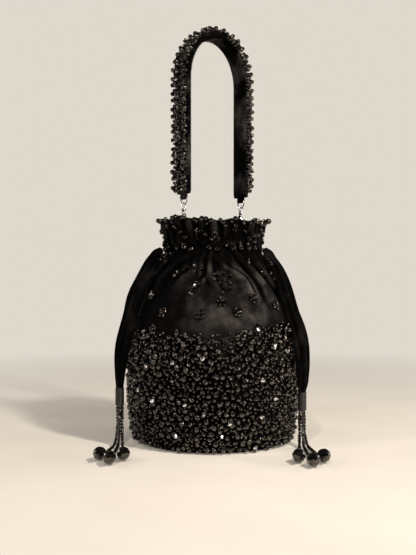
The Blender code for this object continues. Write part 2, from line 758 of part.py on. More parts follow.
def add_tassel(side, ribbon_route, ribbon, thread, black):
    steps = smooth_route(ribbon_route, RIBBON_STEPS)
    tube(f"ribbon_{side}", steps, max(p[3] for p in ribbon_route), ribbon)
    x, y, low, _ = ribbon_route[-1]
    wrap_high = low - 2 * CLEARANCE
    wrap_low = wrap_high - WRAP_LENGTH
    wrap = rod_mesh("tassel_wrap", WRAP_RADIUS, wrap_low, wrap_high)
    add_object(f"tassel_wrap_{side}", wrap, thread, Matrix.Translation((x, y, 0.0)))
    top = wrap_low - CLEARANCE
    for name, azimuth, heading, length in (
            ("outer", 150, -TASSEL_FAN, SIDE_STRAND_LENGTH),
            ("middle", 270, 0, MIDDLE_STRAND_LENGTH),
            ("inner", 30, TASSEL_FAN, SIDE_STRAND_LENGTH)):
        start = (x + STRAND_SPREAD * math.cos(math.radians(azimuth)),
                 y + STRAND_SPREAD * math.sin(math.radians(azimuth)))
        add_strand(f"{name}_{side}", start, top, length, heading, black)


def main():
    for old in list(bpy.data.objects):
        bpy.data.objects.remove(old)
    velvet = finish("black_velvet", (0.012, 0.011, 0.012), 0.9)
    black = finish("black_bead", (0.010, 0.010, 0.012), 0.12, coat=1.0)
    steel = finish("bright_steel", (0.75, 0.75, 0.78), 0.18, metallic=1.0)
    ribbon = finish("black_ribbon", (0.015, 0.014, 0.016), 0.75)
    thread = finish("dark_thread", (0.055, 0.055, 0.060), 0.6)
    satin = finish("black_satin", (0.020, 0.019, 0.021), 0.35)
    board = finish("grey_board", (0.30, 0.27, 0.24), 0.85)
    add_pouch(velvet, board, satin, ribbon)
    add_handle(velvet, steel, ribbon)
    add_tassel("left", RIBBON_LEFT, ribbon, thread, black)
    add_tassel("right", RIBBON_RIGHT, ribbon, thread, black)


main()
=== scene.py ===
# %% [markdown]
# A potli is a round drawstring pouch. This one is black velvet with a crust of black glass beads
# round its lower half, a ruffled collar, bead tassels and a beaded strap handle on two clasps.
# The lesson dresses a plain model of it, which is the frame: every piece here sits where the
# frame's own piece is, and takes its sizes from it.

# %% Frame
import functools
import math
import random

import bmesh
import bpy
from mathutils import Matrix, Vector, noise


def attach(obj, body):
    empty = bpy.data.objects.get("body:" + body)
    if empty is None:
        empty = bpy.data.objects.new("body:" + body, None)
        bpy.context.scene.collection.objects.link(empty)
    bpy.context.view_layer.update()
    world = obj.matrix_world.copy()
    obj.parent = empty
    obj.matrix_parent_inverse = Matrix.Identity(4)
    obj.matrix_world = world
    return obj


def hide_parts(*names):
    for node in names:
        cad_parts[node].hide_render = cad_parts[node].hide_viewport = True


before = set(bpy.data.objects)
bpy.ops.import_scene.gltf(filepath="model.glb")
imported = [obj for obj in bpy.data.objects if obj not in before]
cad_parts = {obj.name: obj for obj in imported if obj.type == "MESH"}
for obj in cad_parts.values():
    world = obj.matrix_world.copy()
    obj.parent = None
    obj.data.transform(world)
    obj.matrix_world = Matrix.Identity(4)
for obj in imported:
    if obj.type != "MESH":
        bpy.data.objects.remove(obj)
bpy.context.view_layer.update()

# %% [markdown]
# Materials are node trees, and so are the shapes that repeat. One class adds nodes to either
# kind of tree. Another wraps an output socket and turns + - * and < into Math nodes, so that
# sums are written as plain Python expressions.


# %% Node trees
def sum_of(operation, swapped=False):
    """An operator that becomes a Math node."""
    def operator(self, other):
        pair = (other, self) if swapped else (self, other)
        return self.nodes.add("ShaderNodeMath", *pair, operation=operation)
    return operator


class Wire:
    """One output socket of a node, ready for sums."""

    __add__, __radd__ = sum_of("ADD"), sum_of("ADD", True)
    __sub__, __rsub__ = sum_of("SUBTRACT"), sum_of("SUBTRACT", True)
    __mul__, __rmul__ = sum_of("MULTIPLY"), sum_of("MULTIPLY", True)
    __lt__ = sum_of("LESS_THAN")

    def __init__(self, nodes, socket):
        self.nodes = nodes
        self.socket = socket

    def clamped(self, low, high):
        """This value spread so that low becomes 0 and high becomes 1."""
        return self.nodes.add("ShaderNodeMapRange", self, low, high, clamp=True)


class Nodes:
    """A node tree that takes each node with its settings and sockets in one call."""

    def __init__(self, graph):
        self.graph = graph

    def plug(self, value, socket):
        """Give a socket its value, or link it to one wire or to a list of wires."""
        if isinstance(value, list):
            for one in value:
                self.plug(one, socket)
        elif isinstance(value, Wire):
            self.graph.links.new(value.socket, socket)
        else:
            socket.default_value = value

    def add(self, kind, *ordered, output=None, **named):
        """A node's output, its first one if none is named. Small-letter names are the node's
        settings. Other names, with _ for a space, are sockets, like the values in order."""
        node = self.graph.nodes.new(kind)
        for name, value in named.items():
            if name.islower():
                setattr(node, name, value)
        live = [socket for socket in node.inputs if socket.enabled]
        for value, socket in zip(ordered, live):
            self.plug(value, socket)
        for name, value in named.items():
            if not name.islower():
                self.plug(value, next(s for s in live if s.name == name.replace("_", " ")))
        return Wire(self, next(s for s in node.outputs
                               if s.enabled and output in (None, s.name)))


class Finish(Nodes):
    """A material with one Principled shader."""

    def __init__(self, name, **constants):
        self.material = bpy.data.materials.new(name)
        self.material.use_nodes = True
        super().__init__(self.material.node_tree)
        self.shader = self.graph.nodes["Principled BSDF"]
        self.feed(**constants)

    def feed(self, **values):
        """Constants are set on the shader's own sockets, and wires are linked to them."""
        for name, value in values.items():
            self.plug(value, self.shader.inputs[name.replace("_", " ")])

    def place(self):
        return self.add("ShaderNodeTexCoord", output="Object")

    def noise(self, scale, detail=2.0, roughness=0.5):
        return self.add("ShaderNodeTexNoise", Vector=self.place(), Scale=scale, Detail=detail,
                        Roughness=roughness)

    def near(self, spot, reach):
        """1 at a point of the object, fading to 0 at the given distance from it."""
        away = self.add("ShaderNodeVectorMath", self.place(), spot, operation="DISTANCE")
        return 1.0 - away.clamped(0.0, reach)

    def mix(self, share, first, second):
        """A colour between two colours."""
        return self.add("ShaderNodeMix", share, first, second, data_type="RGBA")

    def bump(self, height, strength, distance):
        self.feed(Normal=self.add("ShaderNodeBump", Height=height, Strength=strength,
                                  Distance=distance))


print("node trees ready")

# %% [markdown]
# Velvet is a dense pile of short fibres. Seen straight on it swallows light, and at a glancing
# angle the fibre tips shine, which is what the Sheen of the Principled shader does. Where a hand
# has brushed the pile it lies over and looks greyer, so a slow noise lifts the colour there. On
# the pouch the same grey is also painted sheen: it lies on the fold crests near a spot at the
# front right and near the point opposite it, and the hollows between stay black as painted shade.


# %% Velvet
def velvet_finish(name, dark, brushed_and_sheen, sheen, spot=None, reach=0.062):
    """Black pile with paler patches where the pile lies over; with a spot, the paler grey is
    painted sheen on the fold crests near that point of the cloth and near the point opposite to
    it."""
    finish = Finish(name, Sheen_Weight=sheen, Sheen_Roughness=0.25,
                    Sheen_Tint=(0.80, 0.76, 0.74, 1.0), Specular_IOR_Level=0.03)
    patches = finish.noise(34.0, 3.0, 0.6).clamped(0.47, 0.62)
    streaks = finish.noise(170.0, 3.0, 0.6).clamped(0.36, 0.70)
    brushed_and_sheen_mask = patches * (0.5 + 0.5 * streaks)
    # With a spot the paler grey becomes painted sheen on the fold crests near it and near the
    # point opposite, and the hollows stay black as painted shade.
    if spot:
        crest = finish.add("ShaderNodeAttribute", attribute_name="crest", output="Fac")
        x, y, z = spot
        sheen_near = finish.near(spot, reach) + finish.near((-x, -y, z), reach)
        brushed_and_sheen_mask = (0.14 + brushed_and_sheen_mask) * (0.05 + 0.95 * sheen_near) * crest
    pile = finish.noise(2600.0, 1.0)
    crush = finish.noise(330.0, 2.0)
    finish.feed(Base_Color=finish.mix(brushed_and_sheen_mask, dark, brushed_and_sheen), Roughness=0.72 + 0.25 * pile)
    finish.bump(pile * 0.35 + crush * 0.65, 0.55, 0.0006)
    return finish.material


# The pouch's velvet carries painted sheen on its folds round a spot at the front right.
velvet = velvet_finish("black_velvet", (0.0005, 0.0004, 0.0004, 1), (0.135, 0.122, 0.113, 1),
                       0.012, spot=(0.020, -0.060, 0.138))
strap_velvet = velvet_finish("strap_velvet", (0.0007, 0.0006, 0.0006, 1),
                             (0.0520, 0.0470, 0.0440, 1), 0.030)
ribbon_velvet = velvet_finish("ribbon_velvet", (0.0006, 0.0005, 0.0005, 1),
                              (0.0075, 0.0068, 0.0063, 1), 0.045)
print("velvets:", velvet.name, strap_velvet.name, ribbon_velvet.name)

# %% [markdown]
# The beads are opaque black glass. Their colour is near black and all their looks come from
# reflections, so roughness stays low, with a little dust and colour variation from bead to bead.
# A few of them are cut crystal with a silvered back, which flash white.


# %% Glass beads
def glass_finish(name, warm, low, high):
    finish = Finish(name, Coat_Weight=0.3, Coat_Roughness=0.02, Specular_IOR_Level=0.7,
                    Specular_Tint=(1.0, 0.90, 0.80, 1.0))
    batch = finish.noise(170.0, 1.0).clamped(0.45, 0.65)
    finish.feed(Base_Color=finish.mix(batch, (0.0015, 0.0014, 0.0015, 1), warm),
                Roughness=low + (high - low) * finish.noise(420.0, 2.0))
    return finish.material


def crystal_finish():
    finish = Finish("silvered_crystal", Metallic=1.0, Coat_Weight=1.0)
    shine = finish.noise(600.0, 2.0)
    finish.feed(Base_Color=finish.mix(shine, (0.35, 0.35, 0.36, 1), (0.95, 0.95, 0.97, 1)),
                Roughness=0.05 + 0.12 * shine)
    return finish.material


bead_glass = glass_finish("black_bead_glass", (0.008, 0.006, 0.005, 1), 0.02, 0.12)
cut_glass = glass_finish("black_cut_glass", (0.007, 0.006, 0.005, 1), 0.01, 0.05)
crystal = crystal_finish()
print("glass:", bead_glass.name, cut_glass.name, crystal.name)

# %% [markdown]
# The hardware is nickel-plated zinc. Fine polishing lines and small tarnish in the roughness keep
# it from looking like a mirror. Thread, satin and board are plain finishes with their own grain.


# %% Metal, thread, satin and board
def nickel_finish():
    finish = Finish("nickel_plate", Metallic=1.0)
    lines = finish.noise(1500.0, 2.0)
    tarnish = finish.noise(260.0, 2.0).clamped(0.5, 0.75)
    finish.feed(Base_Color=finish.mix(tarnish, (0.72, 0.72, 0.74, 1), (0.40, 0.38, 0.36, 1)),
                Roughness=0.14 + 0.14 * lines + 0.16 * tarnish)
    finish.bump(lines, 0.15, 0.0001)
    return finish.material


def cloth_finish(name, dark, light, roughness, scale, sheen, depth):
    finish = Finish(name, Sheen_Weight=sheen, Sheen_Roughness=0.4, Specular_IOR_Level=0.3)
    weave = finish.noise(scale, 2.0)
    slow = finish.noise(scale / 20, 2.0)
    finish.feed(Base_Color=finish.mix(weave * 0.5 + slow * 0.5, dark, light),
                Roughness=roughness - 0.1 + 0.2 * weave)
    finish.bump(weave, 0.5, depth)
    return finish.material


nickel = nickel_finish()
thread = cloth_finish("grey_thread", (0.002, 0.002, 0.002, 1), (0.034, 0.031, 0.030, 1),
                      0.42, 1800.0, 0.06, 0.0002)
satin = cloth_finish("black_satin", (0.004, 0.004, 0.004, 1), (0.014, 0.013, 0.013, 1),
                     0.38, 2400.0, 0.05, 0.0001)
board = cloth_finish("grey_board", (0.20, 0.18, 0.16, 1), (0.34, 0.31, 0.27, 1),
                     0.85, 900.0, 0.0, 0.0002)
print("other finishes:", nickel.name, thread.name, satin.name, board.name)

# %% [markdown]
# The camera stands level with the middle of the bag and looks straight ahead, as in the photo.
# A key and a fill lamp shape the cloth. Two wide lamps, a little behind the bag on either side,
# draw bright rims on the round beads, and two small ones give them sharp points. The sky stays
# dim, so that the middle of each black bead stays black.

# %% Camera, lamps and floor
FOCAL = 51.9
CAMERA_AT = Vector((-0.005, -0.80, 0.16))
MIDDLE = Vector((0.0, 0.0, 0.14))
PALE = (0.86, 0.80, 0.71, 1.0)
WALL = 0.86
SKY = 0.07
WHITE = (1.0, 0.97, 0.93)
WARM = (1.0, 0.93, 0.85)
# Each lamp: its name, place, width, power and colour.
LAMPS = (("key", (0.62, -0.70, 0.95), 0.13, 15.0, WARM),
         ("fill", (-1.0, -0.6, 0.60), 0.13, 3.0, WHITE),
         ("rim_left", (-0.95, 0.40, 0.50), 0.45, 2.5, WHITE),
         ("rim_right", (1.00, 0.35, 0.50), 0.45, 2.5, WHITE),
         ("glint_high", (-0.15, -0.9, 1.05), 0.05, 4.0, WARM),
         ("glint_side", (0.95, -0.5, 0.20), 0.05, 4.0, WARM))


def into_scene(name, data):
    thing = bpy.data.objects.new(name, data)
    bpy.context.scene.collection.objects.link(thing)
    return thing


camera = into_scene("camera", bpy.data.cameras.new("camera"))
camera.data.lens = FOCAL
camera.location = CAMERA_AT
camera.rotation_euler = (math.radians(90), 0.0, 0.0)
bpy.context.scene.camera = camera

for name, place, size, power, color in LAMPS:
    lamp = into_scene(name, bpy.data.lights.new(name, "AREA"))
    lamp.data.size = size
    lamp.data.energy = power
    lamp.data.color = color
    lamp.location = place
    lamp.rotation_euler = (MIDDLE - Vector(place)).to_track_quat("-Z", "Y").to_euler()


def pale_world():
    """The camera sees a pale wall, while the bag is lit by a dimmer sky of the same tone."""
    world = bpy.data.worlds.new("studio")
    world.use_nodes = True
    studio = Nodes(world.node_tree)
    sky = studio.graph.nodes["Background"]
    sky.inputs["Color"].default_value = PALE
    sky.inputs["Strength"].default_value = SKY
    wall = studio.add("ShaderNodeBackground", PALE, WALL)
    seen = studio.add("ShaderNodeLightPath", output="Is Camera Ray")
    mixed = studio.add("ShaderNodeMixShader", seen, Wire(studio, sky.outputs[0]), wall)
    studio.plug(mixed, studio.graph.nodes["World Output"].inputs["Surface"])
    return world


def pale_floor():
    """A matt floor that keeps the bag's shadow near by and fades into the wall far away."""
    finish = Finish("pale_floor", Roughness=0.95, Specular_IOR_Level=0.05)
    finish.feed(Base_Color=finish.mix(finish.noise(9.0, 3.0), (0.74, 0.68, 0.60, 1), PALE))
    away = finish.add("ShaderNodeVectorMath", finish.place(), operation="LENGTH")
    seen = finish.add("ShaderNodeLightPath", output="Is Camera Ray")
    share = (0.15 + 0.85 * away.clamped(0.22, 0.95)) * seen
    wall = finish.add("ShaderNodeEmission", PALE, WALL)
    own = Wire(finish, finish.shader.outputs[0])
    mixed = finish.add("ShaderNodeMixShader", share, own, wall)
    finish.plug(mixed, finish.graph.nodes["Material Output"].inputs["Surface"])
    return finish.material


bpy.context.scene.world = pale_world()
bpy.context.scene.view_settings.view_transform = "Standard"
bpy.ops.mesh.primitive_plane_add(size=8.0, location=(0.0, 0.0, -0.0004))
floor = bpy.context.object
floor.name = "floor"
floor.data.materials.append(pale_floor())
print("camera at", tuple(CAMERA_AT), "with a", FOCAL, "mm lens")

# %% [markdown]
# Geometry Nodes make what repeats. A tree is built from named inputs. A helper puts it on a mesh,
# sets its inputs and turns the result into plain mesh.


# %% Geometry Nodes helpers
class Tree(Nodes):
    """A geometry node group with named inputs, which are read like a dictionary."""

    def __init__(self, name, **inputs):
        super().__init__(bpy.data.node_groups.new(name, "GeometryNodeTree"))
        self.graph.is_modifier = True
        sockets = [("Geometry", "INPUT", "Geometry")]
        sockets += [(label.replace("_", " "), "INPUT", kind) for label, kind in inputs.items()]
        for label, way, kind in sockets + [("Geometry", "OUTPUT", "Geometry")]:
            self.graph.interface.new_socket(label, in_out=way, socket_type="NodeSocket" + kind)
        self.entry = self.graph.nodes.new("NodeGroupInput")
        self.exit = self.graph.nodes.new("NodeGroupOutput")

    def __getitem__(self, label):
        return Wire(self, self.entry.outputs[label])

    def random(self, low, high, kind="FLOAT"):
        """A random number or vector for each point."""
        return self.add("FunctionNodeRandomValue", data_type=kind, Min=low, Max=high,
                        Seed=self["Seed"])

    def tube(self, curve):
        """A line as a round thread."""
        ring = self.add("GeometryNodeCurvePrimitiveCircle", 6, Radius=self["Thread"])
        return self.add("GeometryNodeCurveToMesh", curve, ring, Fill_Caps=True)

    def end(self, *parts):
        """Every tree ends as real geometry with its finish."""
        both = self.add("GeometryNodeJoinGeometry", list(parts))
        real = self.add("GeometryNodeRealizeInstances", both)
        painted = self.add("GeometryNodeSetMaterial", real, Material=self["Finish"])
        self.plug(painted, self.exit.inputs["Geometry"])
        print(self.graph.name, len(self.graph.nodes), "nodes")
        return self


def grow(name, source, tree, keep=False, **inputs):
    """Run a tree on a guide, return the plain result as a new object and drop the guide."""
    step = source.modifiers.new("grow", "NODES")
    step.node_group = tree.graph
    for item in tree.graph.interface.items_tree:
        label = item.name.replace(" ", "_")
        if item.in_out == "INPUT" and label in inputs:
            step[item.identifier] = inputs[label]
    bpy.context.view_layer.update()
    seen = source.evaluated_get(bpy.context.evaluated_depsgraph_get())
    mesh = bpy.data.meshes.new_from_object(seen)
    mesh.name = name
    source.modifiers.remove(step)
    if not keep:
        bpy.data.objects.remove(source)
    return into_scene(name, mesh)


print("tree helpers ready")

# %% [markdown]
# Most pieces are skins over a row of rings. One helper turns the faces of a shape outward, a
# second closes a skin, a third carries a section along a path, and the last settles the piece: it
# rides on a body of the frame and hides the plain node it stands for.


# %% Skins and settling
def outward(shape, name, smooth):
    """A mesh of the shape, its faces turned outward and smoothed up to the given angle."""
    bmesh.ops.recalc_face_normals(shape, faces=shape.faces)
    mesh = bpy.data.meshes.new(name)
    shape.to_mesh(mesh)
    shape.free()
    if smooth:
        mesh.shade_smooth()
        mesh.set_sharp_from_angle(angle=math.radians(smooth))
    return mesh


def joined(name, parts, smooth):
    """One mesh of one or more closed parts."""
    shape = bmesh.new()
    for part in parts:
        shape.from_mesh(part)
    return outward(shape, name, smooth)


def quads(rows, count, closed=False):
    """Faces between rows of as many points."""
    for i in range(rows if closed else rows - 1):
        low = i * count
        high = (i + 1) % rows * count
        for k in range(count):
            m = (k + 1) % count
            yield low + k, low + m, high + m, high + k


def skin_over(name, rings, closed=False, smooth=60):
    """A mesh over rings of as many points; an open run is capped at both ends."""
    count = len(rings[0])
    faces = list(quads(len(rings), count, closed))
    if not closed:
        last = (len(rings) - 1) * count
        faces.append(tuple(range(count)))
        faces.append(tuple(range(last + count - 1, last - 1, -1)))
    mesh = bpy.data.meshes.new("skin")
    mesh.from_pydata([tuple(p) for ring in rings for p in ring], [], faces)
    return joined(name, [mesh], smooth)


def frames(points, facing, closed=False):
    """For each point of a path: the point, the way across and the way that faces outward."""
    count = len(points)
    for i, point in enumerate(points):
        ahead = points[(i + 1) % count] if closed else points[min(i + 1, count - 1)]
        behind = points[i - 1] if closed else points[max(i - 1, 0)]
        along = (ahead - behind).normalized()
        across = along.cross(facing).normalized()
        yield point, across, across.cross(along)


def sweep(name, points, facing, section, closed=False, smooth=60):
    """A section of (across, facing) points carried along a path."""
    rings = [[point + across * a + out * b for a, b in section]
             for point, across, out in frames(points, facing, closed)]
    return skin_over(name, rings, closed, smooth)


UP = Vector((0.0, 0.0, 1.0))


def circle(count):
    return [2 * math.pi * i / count for i in range(count)]


def around(radius, angle, z=0.0):
    return Vector((radius * math.cos(angle), radius * math.sin(angle), z))


def off_axis(point):
    """The level direction from the bag's axis to a point."""
    return Vector((point.x, point.y, 0.0)).normalized()


def round_section(radius, sides=12):
    return [around(radius, angle).xy for angle in circle(sides)]


def turned(name, outline, columns, smooth=40, closed=False):
    """A body turned about Z from an outline of (radius, z)."""
    rings = [[around(radius, angle, z) for angle in circle(columns)] for radius, z in outline]
    return skin_over(name, rings, closed, smooth)


def settle(piece, finish, body, slot, *nodes):
    """Give a mesh or object its finish, its body and the nodes it stands for; the slot is not
    used.
    """
    if isinstance(piece, bpy.types.Mesh):
        piece = into_scene(piece.name, piece)
        piece.data.materials.append(finish)
    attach(piece, body)
    if nodes:
        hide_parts(*nodes)
    print(piece.name, len(piece.data.polygons), "faces")
    return piece


print("skin helpers ready")

# %% [markdown]
# The smallest thing comes first: the beads. A round bead has a hole whose edge catches light, and
# a cut one has flat facets. Both are one unit across, because the trees scale them as they sew.


# %% Bead shapes
def bead(name, columns, smooth, *half):
    """A bead turned from the upper half of its outline, which its lower half mirrors."""
    outline = half + tuple((radius, -z) for radius, z in reversed(half))
    shape = into_scene(name, turned(name, outline, columns, smooth, closed=True))
    print(name, len(shape.data.polygons), "faces")
    return shape


round_bead = bead("round_bead", 10, 80, (0.14, 0.28), (0.34, 0.43), (0.49, 0.18))
cut_bead = bead("cut_bead", 8, None, (0.10, 0.32), (0.27, 0.38), (0.50, 0.13))
small_bead = bead("small_bead", 8, 80, (0.12, 0.34), (0.46, 0.24))
stitch = bead("stitch", 6, 80, (0.02, 0.5), (0.11, 0.34))

# %% [markdown]
# Three trees sew them on. "Sewn" puts a bead on every vertex of a guide, turned to the vertex's
# own outward direction and scaled by its own size. "Scattered" spreads beads over a face guide
# without letting two come closer than a spacing. "Strung" threads them along a line.


# %% Trees for beads
def turned_to(tree, direction):
    """A rotation that faces a direction, then tips and twists by a random amount."""
    aim = tree.add("FunctionNodeAlignRotationToVector", axis="Z", Vector=direction)
    tip = tree.random(tree["Tip Low"], tree["Tip High"], "FLOAT_VECTOR")
    by = tree.add("FunctionNodeEulerToRotation", tip)
    return tree.add("FunctionNodeRotateRotation", aim, by, rotation_space="LOCAL")


def sown(tree, points, label, rotation, size, **chosen):
    """Instances of the bead that an input names, on the chosen points."""
    shape = tree.add("GeometryNodeObjectInfo", tree[label], output="Geometry")
    return tree.add("GeometryNodeInstanceOnPoints", points, Instance=shape, Rotation=rotation,
                    Scale=size, **chosen)


def two_kinds(tree, points, rotation, size):
    """Cut beads on a random share of the points, and plain beads on the rest."""
    cut = tree.random(0.0, 1.0) < tree["Cut Share"]
    return tree.end(sown(tree, points, "Cut Bead", rotation, size, Selection=cut),
                    sown(tree, points, "Bead", rotation, size, Selection=1.0 - cut))


def attribute(tree, name, kind):
    return tree.add("GeometryNodeInputNamedAttribute", name, data_type=kind)


TIPS = dict(Tip_Low="Vector", Tip_High="Vector", Seed="Int", Finish="Material")
KINDS = dict(Bead="Object", Cut_Bead="Object", Cut_Share="Float")
SIZES = dict(Small="Float", Large="Float")


def sewn_tree():
    tree = Tree("sewn_beads", **KINDS, **TIPS)
    rotation = turned_to(tree, attribute(tree, "out", "FLOAT_VECTOR"))
    return two_kinds(tree, tree["Geometry"], rotation, attribute(tree, "size", "FLOAT"))


def scattered_tree():
    tree = Tree("scattered_beads", **KINDS, Spacing="Float", Crowd="Float", **SIZES,
                Lift_Low="Float", Lift_High="Float", **TIPS)
    spread = tree.add("GeometryNodeDistributePointsOnFaces", tree["Geometry"],
                      distribute_method="POISSON", Distance_Min=tree["Spacing"],
                      Density_Max=tree["Crowd"], Seed=tree["Seed"],
                      Density_Factor=attribute(tree, "density", "FLOAT"))
    out = Wire(tree, spread.socket.node.outputs["Normal"])
    lift = tree.random(tree["Lift Low"], tree["Lift High"])
    rise = tree.add("ShaderNodeVectorMath", out, lift, operation="SCALE")
    points = tree.add("GeometryNodeSetPosition", spread, Offset=rise)
    return two_kinds(tree, points, turned_to(tree, out),
                     tree.random(tree["Small"], tree["Large"]))


def strung_tree():
    tree = Tree("strung_beads", Bead="Object", Pitch="Float", **SIZES, Thread="Float", **TIPS)
    line = tree.add("GeometryNodeMeshToCurve", tree["Geometry"])
    even = tree.add("GeometryNodeResampleCurve", line, mode="LENGTH", Length=tree["Pitch"])
    along = tree.add("GeometryNodeInputTangent")
    size = tree.random(tree["Small"], tree["Large"])
    return tree.end(tree.tube(even), sown(tree, even, "Bead", turned_to(tree, along), size))


sewn = sewn_tree()
scattered = scattered_tree()
strung = strung_tree()


# %% Guides for the trees
def guide_mesh(name, points, edges=(), faces=()):
    mesh = bpy.data.meshes.new(name)
    mesh.from_pydata([tuple(p) for p in points], list(edges), list(faces))
    return into_scene(name, mesh)


def line_guide(name, points):
    return guide_mesh(name, points, [(i, i + 1) for i in range(len(points) - 1)])


FULL_TURN = 6.28


def tipped(angle):
    """Inputs that tip each bead by up to the angle and twist it at random."""
    return dict(Tip_Low=(-angle, -angle, 0.0), Tip_High=(angle, angle, FULL_TURN))


def sew(name, places, tip, seed, cut_share=0.35, body="bag"):
    """A bead on each of the places, which are (point, outward, size)."""
    guide = guide_mesh(name + "_guide", [point for point, out, size in places])
    fields = guide.data.attributes
    fields.new("out", "FLOAT_VECTOR", "POINT")
    fields.new("size", "FLOAT", "POINT")
    fields["out"].data.foreach_set("vector", [c for point, out, size in places for c in out])
    fields["size"].data.foreach_set("value", [size for point, out, size in places])
    piece = grow(name, guide, sewn, Bead=round_bead, Cut_Bead=cut_bead, Cut_Share=cut_share,
                 Seed=seed, Finish=bead_glass, **tipped(tip))
    return settle(piece, None, body, "black_bead")


print("guides ready")

# %% [markdown]
# The cords come first. The two drawstring ribbons follow the frame's own routes. Each route is a
# few points of x, y, z and the ribbon's radius there, in millimetres, joined by a smooth curve.

# %% Ribbon routes
RIBBONS = {
    "left": ((-51.2, 0, 188.8, 2), (-56, -1, 186.2, 2.8), (-60.2, -4, 179, 3.4),
             (-65.5, -8.5, 168, 4.6), (-71.5, -14.5, 154.5, 5.6), (-77.8, -22, 140, 6),
             (-82.5, -30, 121, 6), (-85.9, -34, 100.5, 6), (-88.4, -36, 78, 6),
             (-89, -36, 66, 5.2), (-89.3, -36, 60, 4.6), (-89.3, -36, 54.5, 4)),
    "right": ((51.2, 0, 188.8, 2), (55, -1.2, 186, 2.8), (60, -5, 178.5, 3.2),
              (64.5, -11, 167, 4.2), (69, -18, 153, 5), (74.5, -27, 136, 5.2),
              (82, -36, 112, 5.2), (83.8, -39, 90, 5.4), (85, -40, 74, 5.6), (84.3, -40, 62, 5),
              (84.3, -40, 56, 4.6), (84.3, -40, 50.5, 4))}
WRAP_RADIUS = 0.0046
WRAP_LENGTH = 0.0155
STRAND_RADIUS = 0.0020
GAP = 0.0003
ROUTE_STEPS = 90
RELAXING = 110
BOW = 0.0016


def smooth_route(points, steps):
    """Points read evenly from a smooth curve through the route's own points."""
    points = [Vector([value / 1000 for value in p]) for p in points]
    padded = [2 * points[0] - points[1]] + points + [2 * points[-1] - points[-2]]
    fine = []
    for i in range(1, len(padded) - 2):
        a, b, c, d = padded[i - 1:i + 3]
        for k in range(12):
            t = k / 12
            fine.append(0.5 * (2 * b + (c - a) * t + (2 * a - 5 * b + 4 * c - d) * t ** 2
                               + (3 * b - a - 3 * c + d) * t ** 3))
    fine.append(points[-1])
    return read_evenly(fine, steps)


def read_evenly(fine, steps):
    """As many equal steps along a line of close points."""
    lengths = [(q.xyz - p.xyz).length for p, q in zip(fine, fine[1:])]
    route = []
    span = 0
    passed = 0.0
    for i in range(steps + 1):
        goal = sum(lengths) * i / steps
        while span < len(lengths) - 1 and passed + lengths[span] < goal:
            passed += lengths[span]
            span += 1
        route.append(fine[span].lerp(fine[span + 1], min((goal - passed) / lengths[span], 1.0)))
    return route


def run_of(route):
    """Length along a route."""
    return sum((q.xyz - p.xyz).length for p, q in zip(route, route[1:]))


def relaxed(route, passes, bow):
    """The route with its bends evened out, and its upper half bowed away from the bag."""
    for _ in range(passes):
        middle = [(a + 2 * b + c) / 4 for a, b, c in zip(route, route[1:], route[2:])]
        route = [route[0]] + middle + [route[-1]]
    bowed = []
    for i, point in enumerate(route):
        share = min(2 * i / (len(route) - 1), 1.0)
        away = Vector((point.x, point.y, 0.0, 0.0)).normalized()
        bowed.append(point + away * bow * math.sin(math.pi * share))
    return bowed


routes = {side: relaxed(smooth_route(points, ROUTE_STEPS), RELAXING, BOW)
          for side, points in RIBBONS.items()}
for side, route in routes.items():
    print(side, "ribbon is", round(run_of(route) * 1000), "mm long")


# %% [markdown]
# A ribbon here is a wide velvet band folded lengthwise, so its section is flat with two soft
# creases that drift along it and one edge where the upper layer stops short of the lower one.


# %% Ribbons
def eased(value, low, high):
    """0 below low, 1 above high, and a soft rise between."""
    t = min(max((value - low) / (high - low), 0.0), 1.0)
    return t * t * (3 - 2 * t)


def through(stations):
    """A smooth curve through (place, value) stations that never swings past one."""
    steps = [(b[1] - a[1]) / (b[0] - a[0]) for a, b in zip(stations, stations[1:])]
    slopes = [steps[0]]
    for before, after in zip(steps, steps[1:]):
        slopes.append(2 * before * after / (before + after) if before * after > 0 else 0.0)
    slopes.append(steps[-1])

    def value(place):
        place = min(max(place, stations[0][0]), stations[-1][0])
        span = max(i for i in range(len(stations) - 1) if place >= stations[i][0])
        (low, start), (high, end) = stations[span], stations[span + 1]
        t = (place - low) / (high - low)
        blend = 3 * t ** 2 - 2 * t ** 3
        return (start * (1 - blend) + end * blend
                + (high - low) * (slopes[span] * (t ** 3 - 2 * t ** 2 + t)
                                  + slopes[span + 1] * (t ** 3 - t ** 2)))

    return value


def ribbon_section(half, thick, share, phase):
    """(across, facing) points of the folded band, at one share of its run."""
    full = eased(share, 0.03, 0.2) * (1 - eased(share, 0.93, 1.0))
    drift = 0.22 * math.sin(share * 6.5 + phase)
    edge = 0.24 + 0.12 * math.sin(share * 7.5 + 2 * phase)
    front = []
    back = []
    samples = 31
    for i in range(samples):
        s = -1 + 2 * i / (samples - 1)
        crown = 0.30 + 0.55 * math.sqrt(max(1 - s * s, 0.0))
        crease = 0.42 * full * (2 * abs(math.cos(math.pi * (1.2 * s + drift))) - 1)
        layer = 0.55 * full * eased(edge - s, -0.03, 0.04)
        rounded = min((1 - abs(s)) * 7, 1.0)
        front.append((half * s, thick * (crown + (crease + layer) * rounded)))
        back.append((half * s, -thick * (0.7 * crown + 0.3 * crease * rounded)))
    return front + back[-2:0:-1]


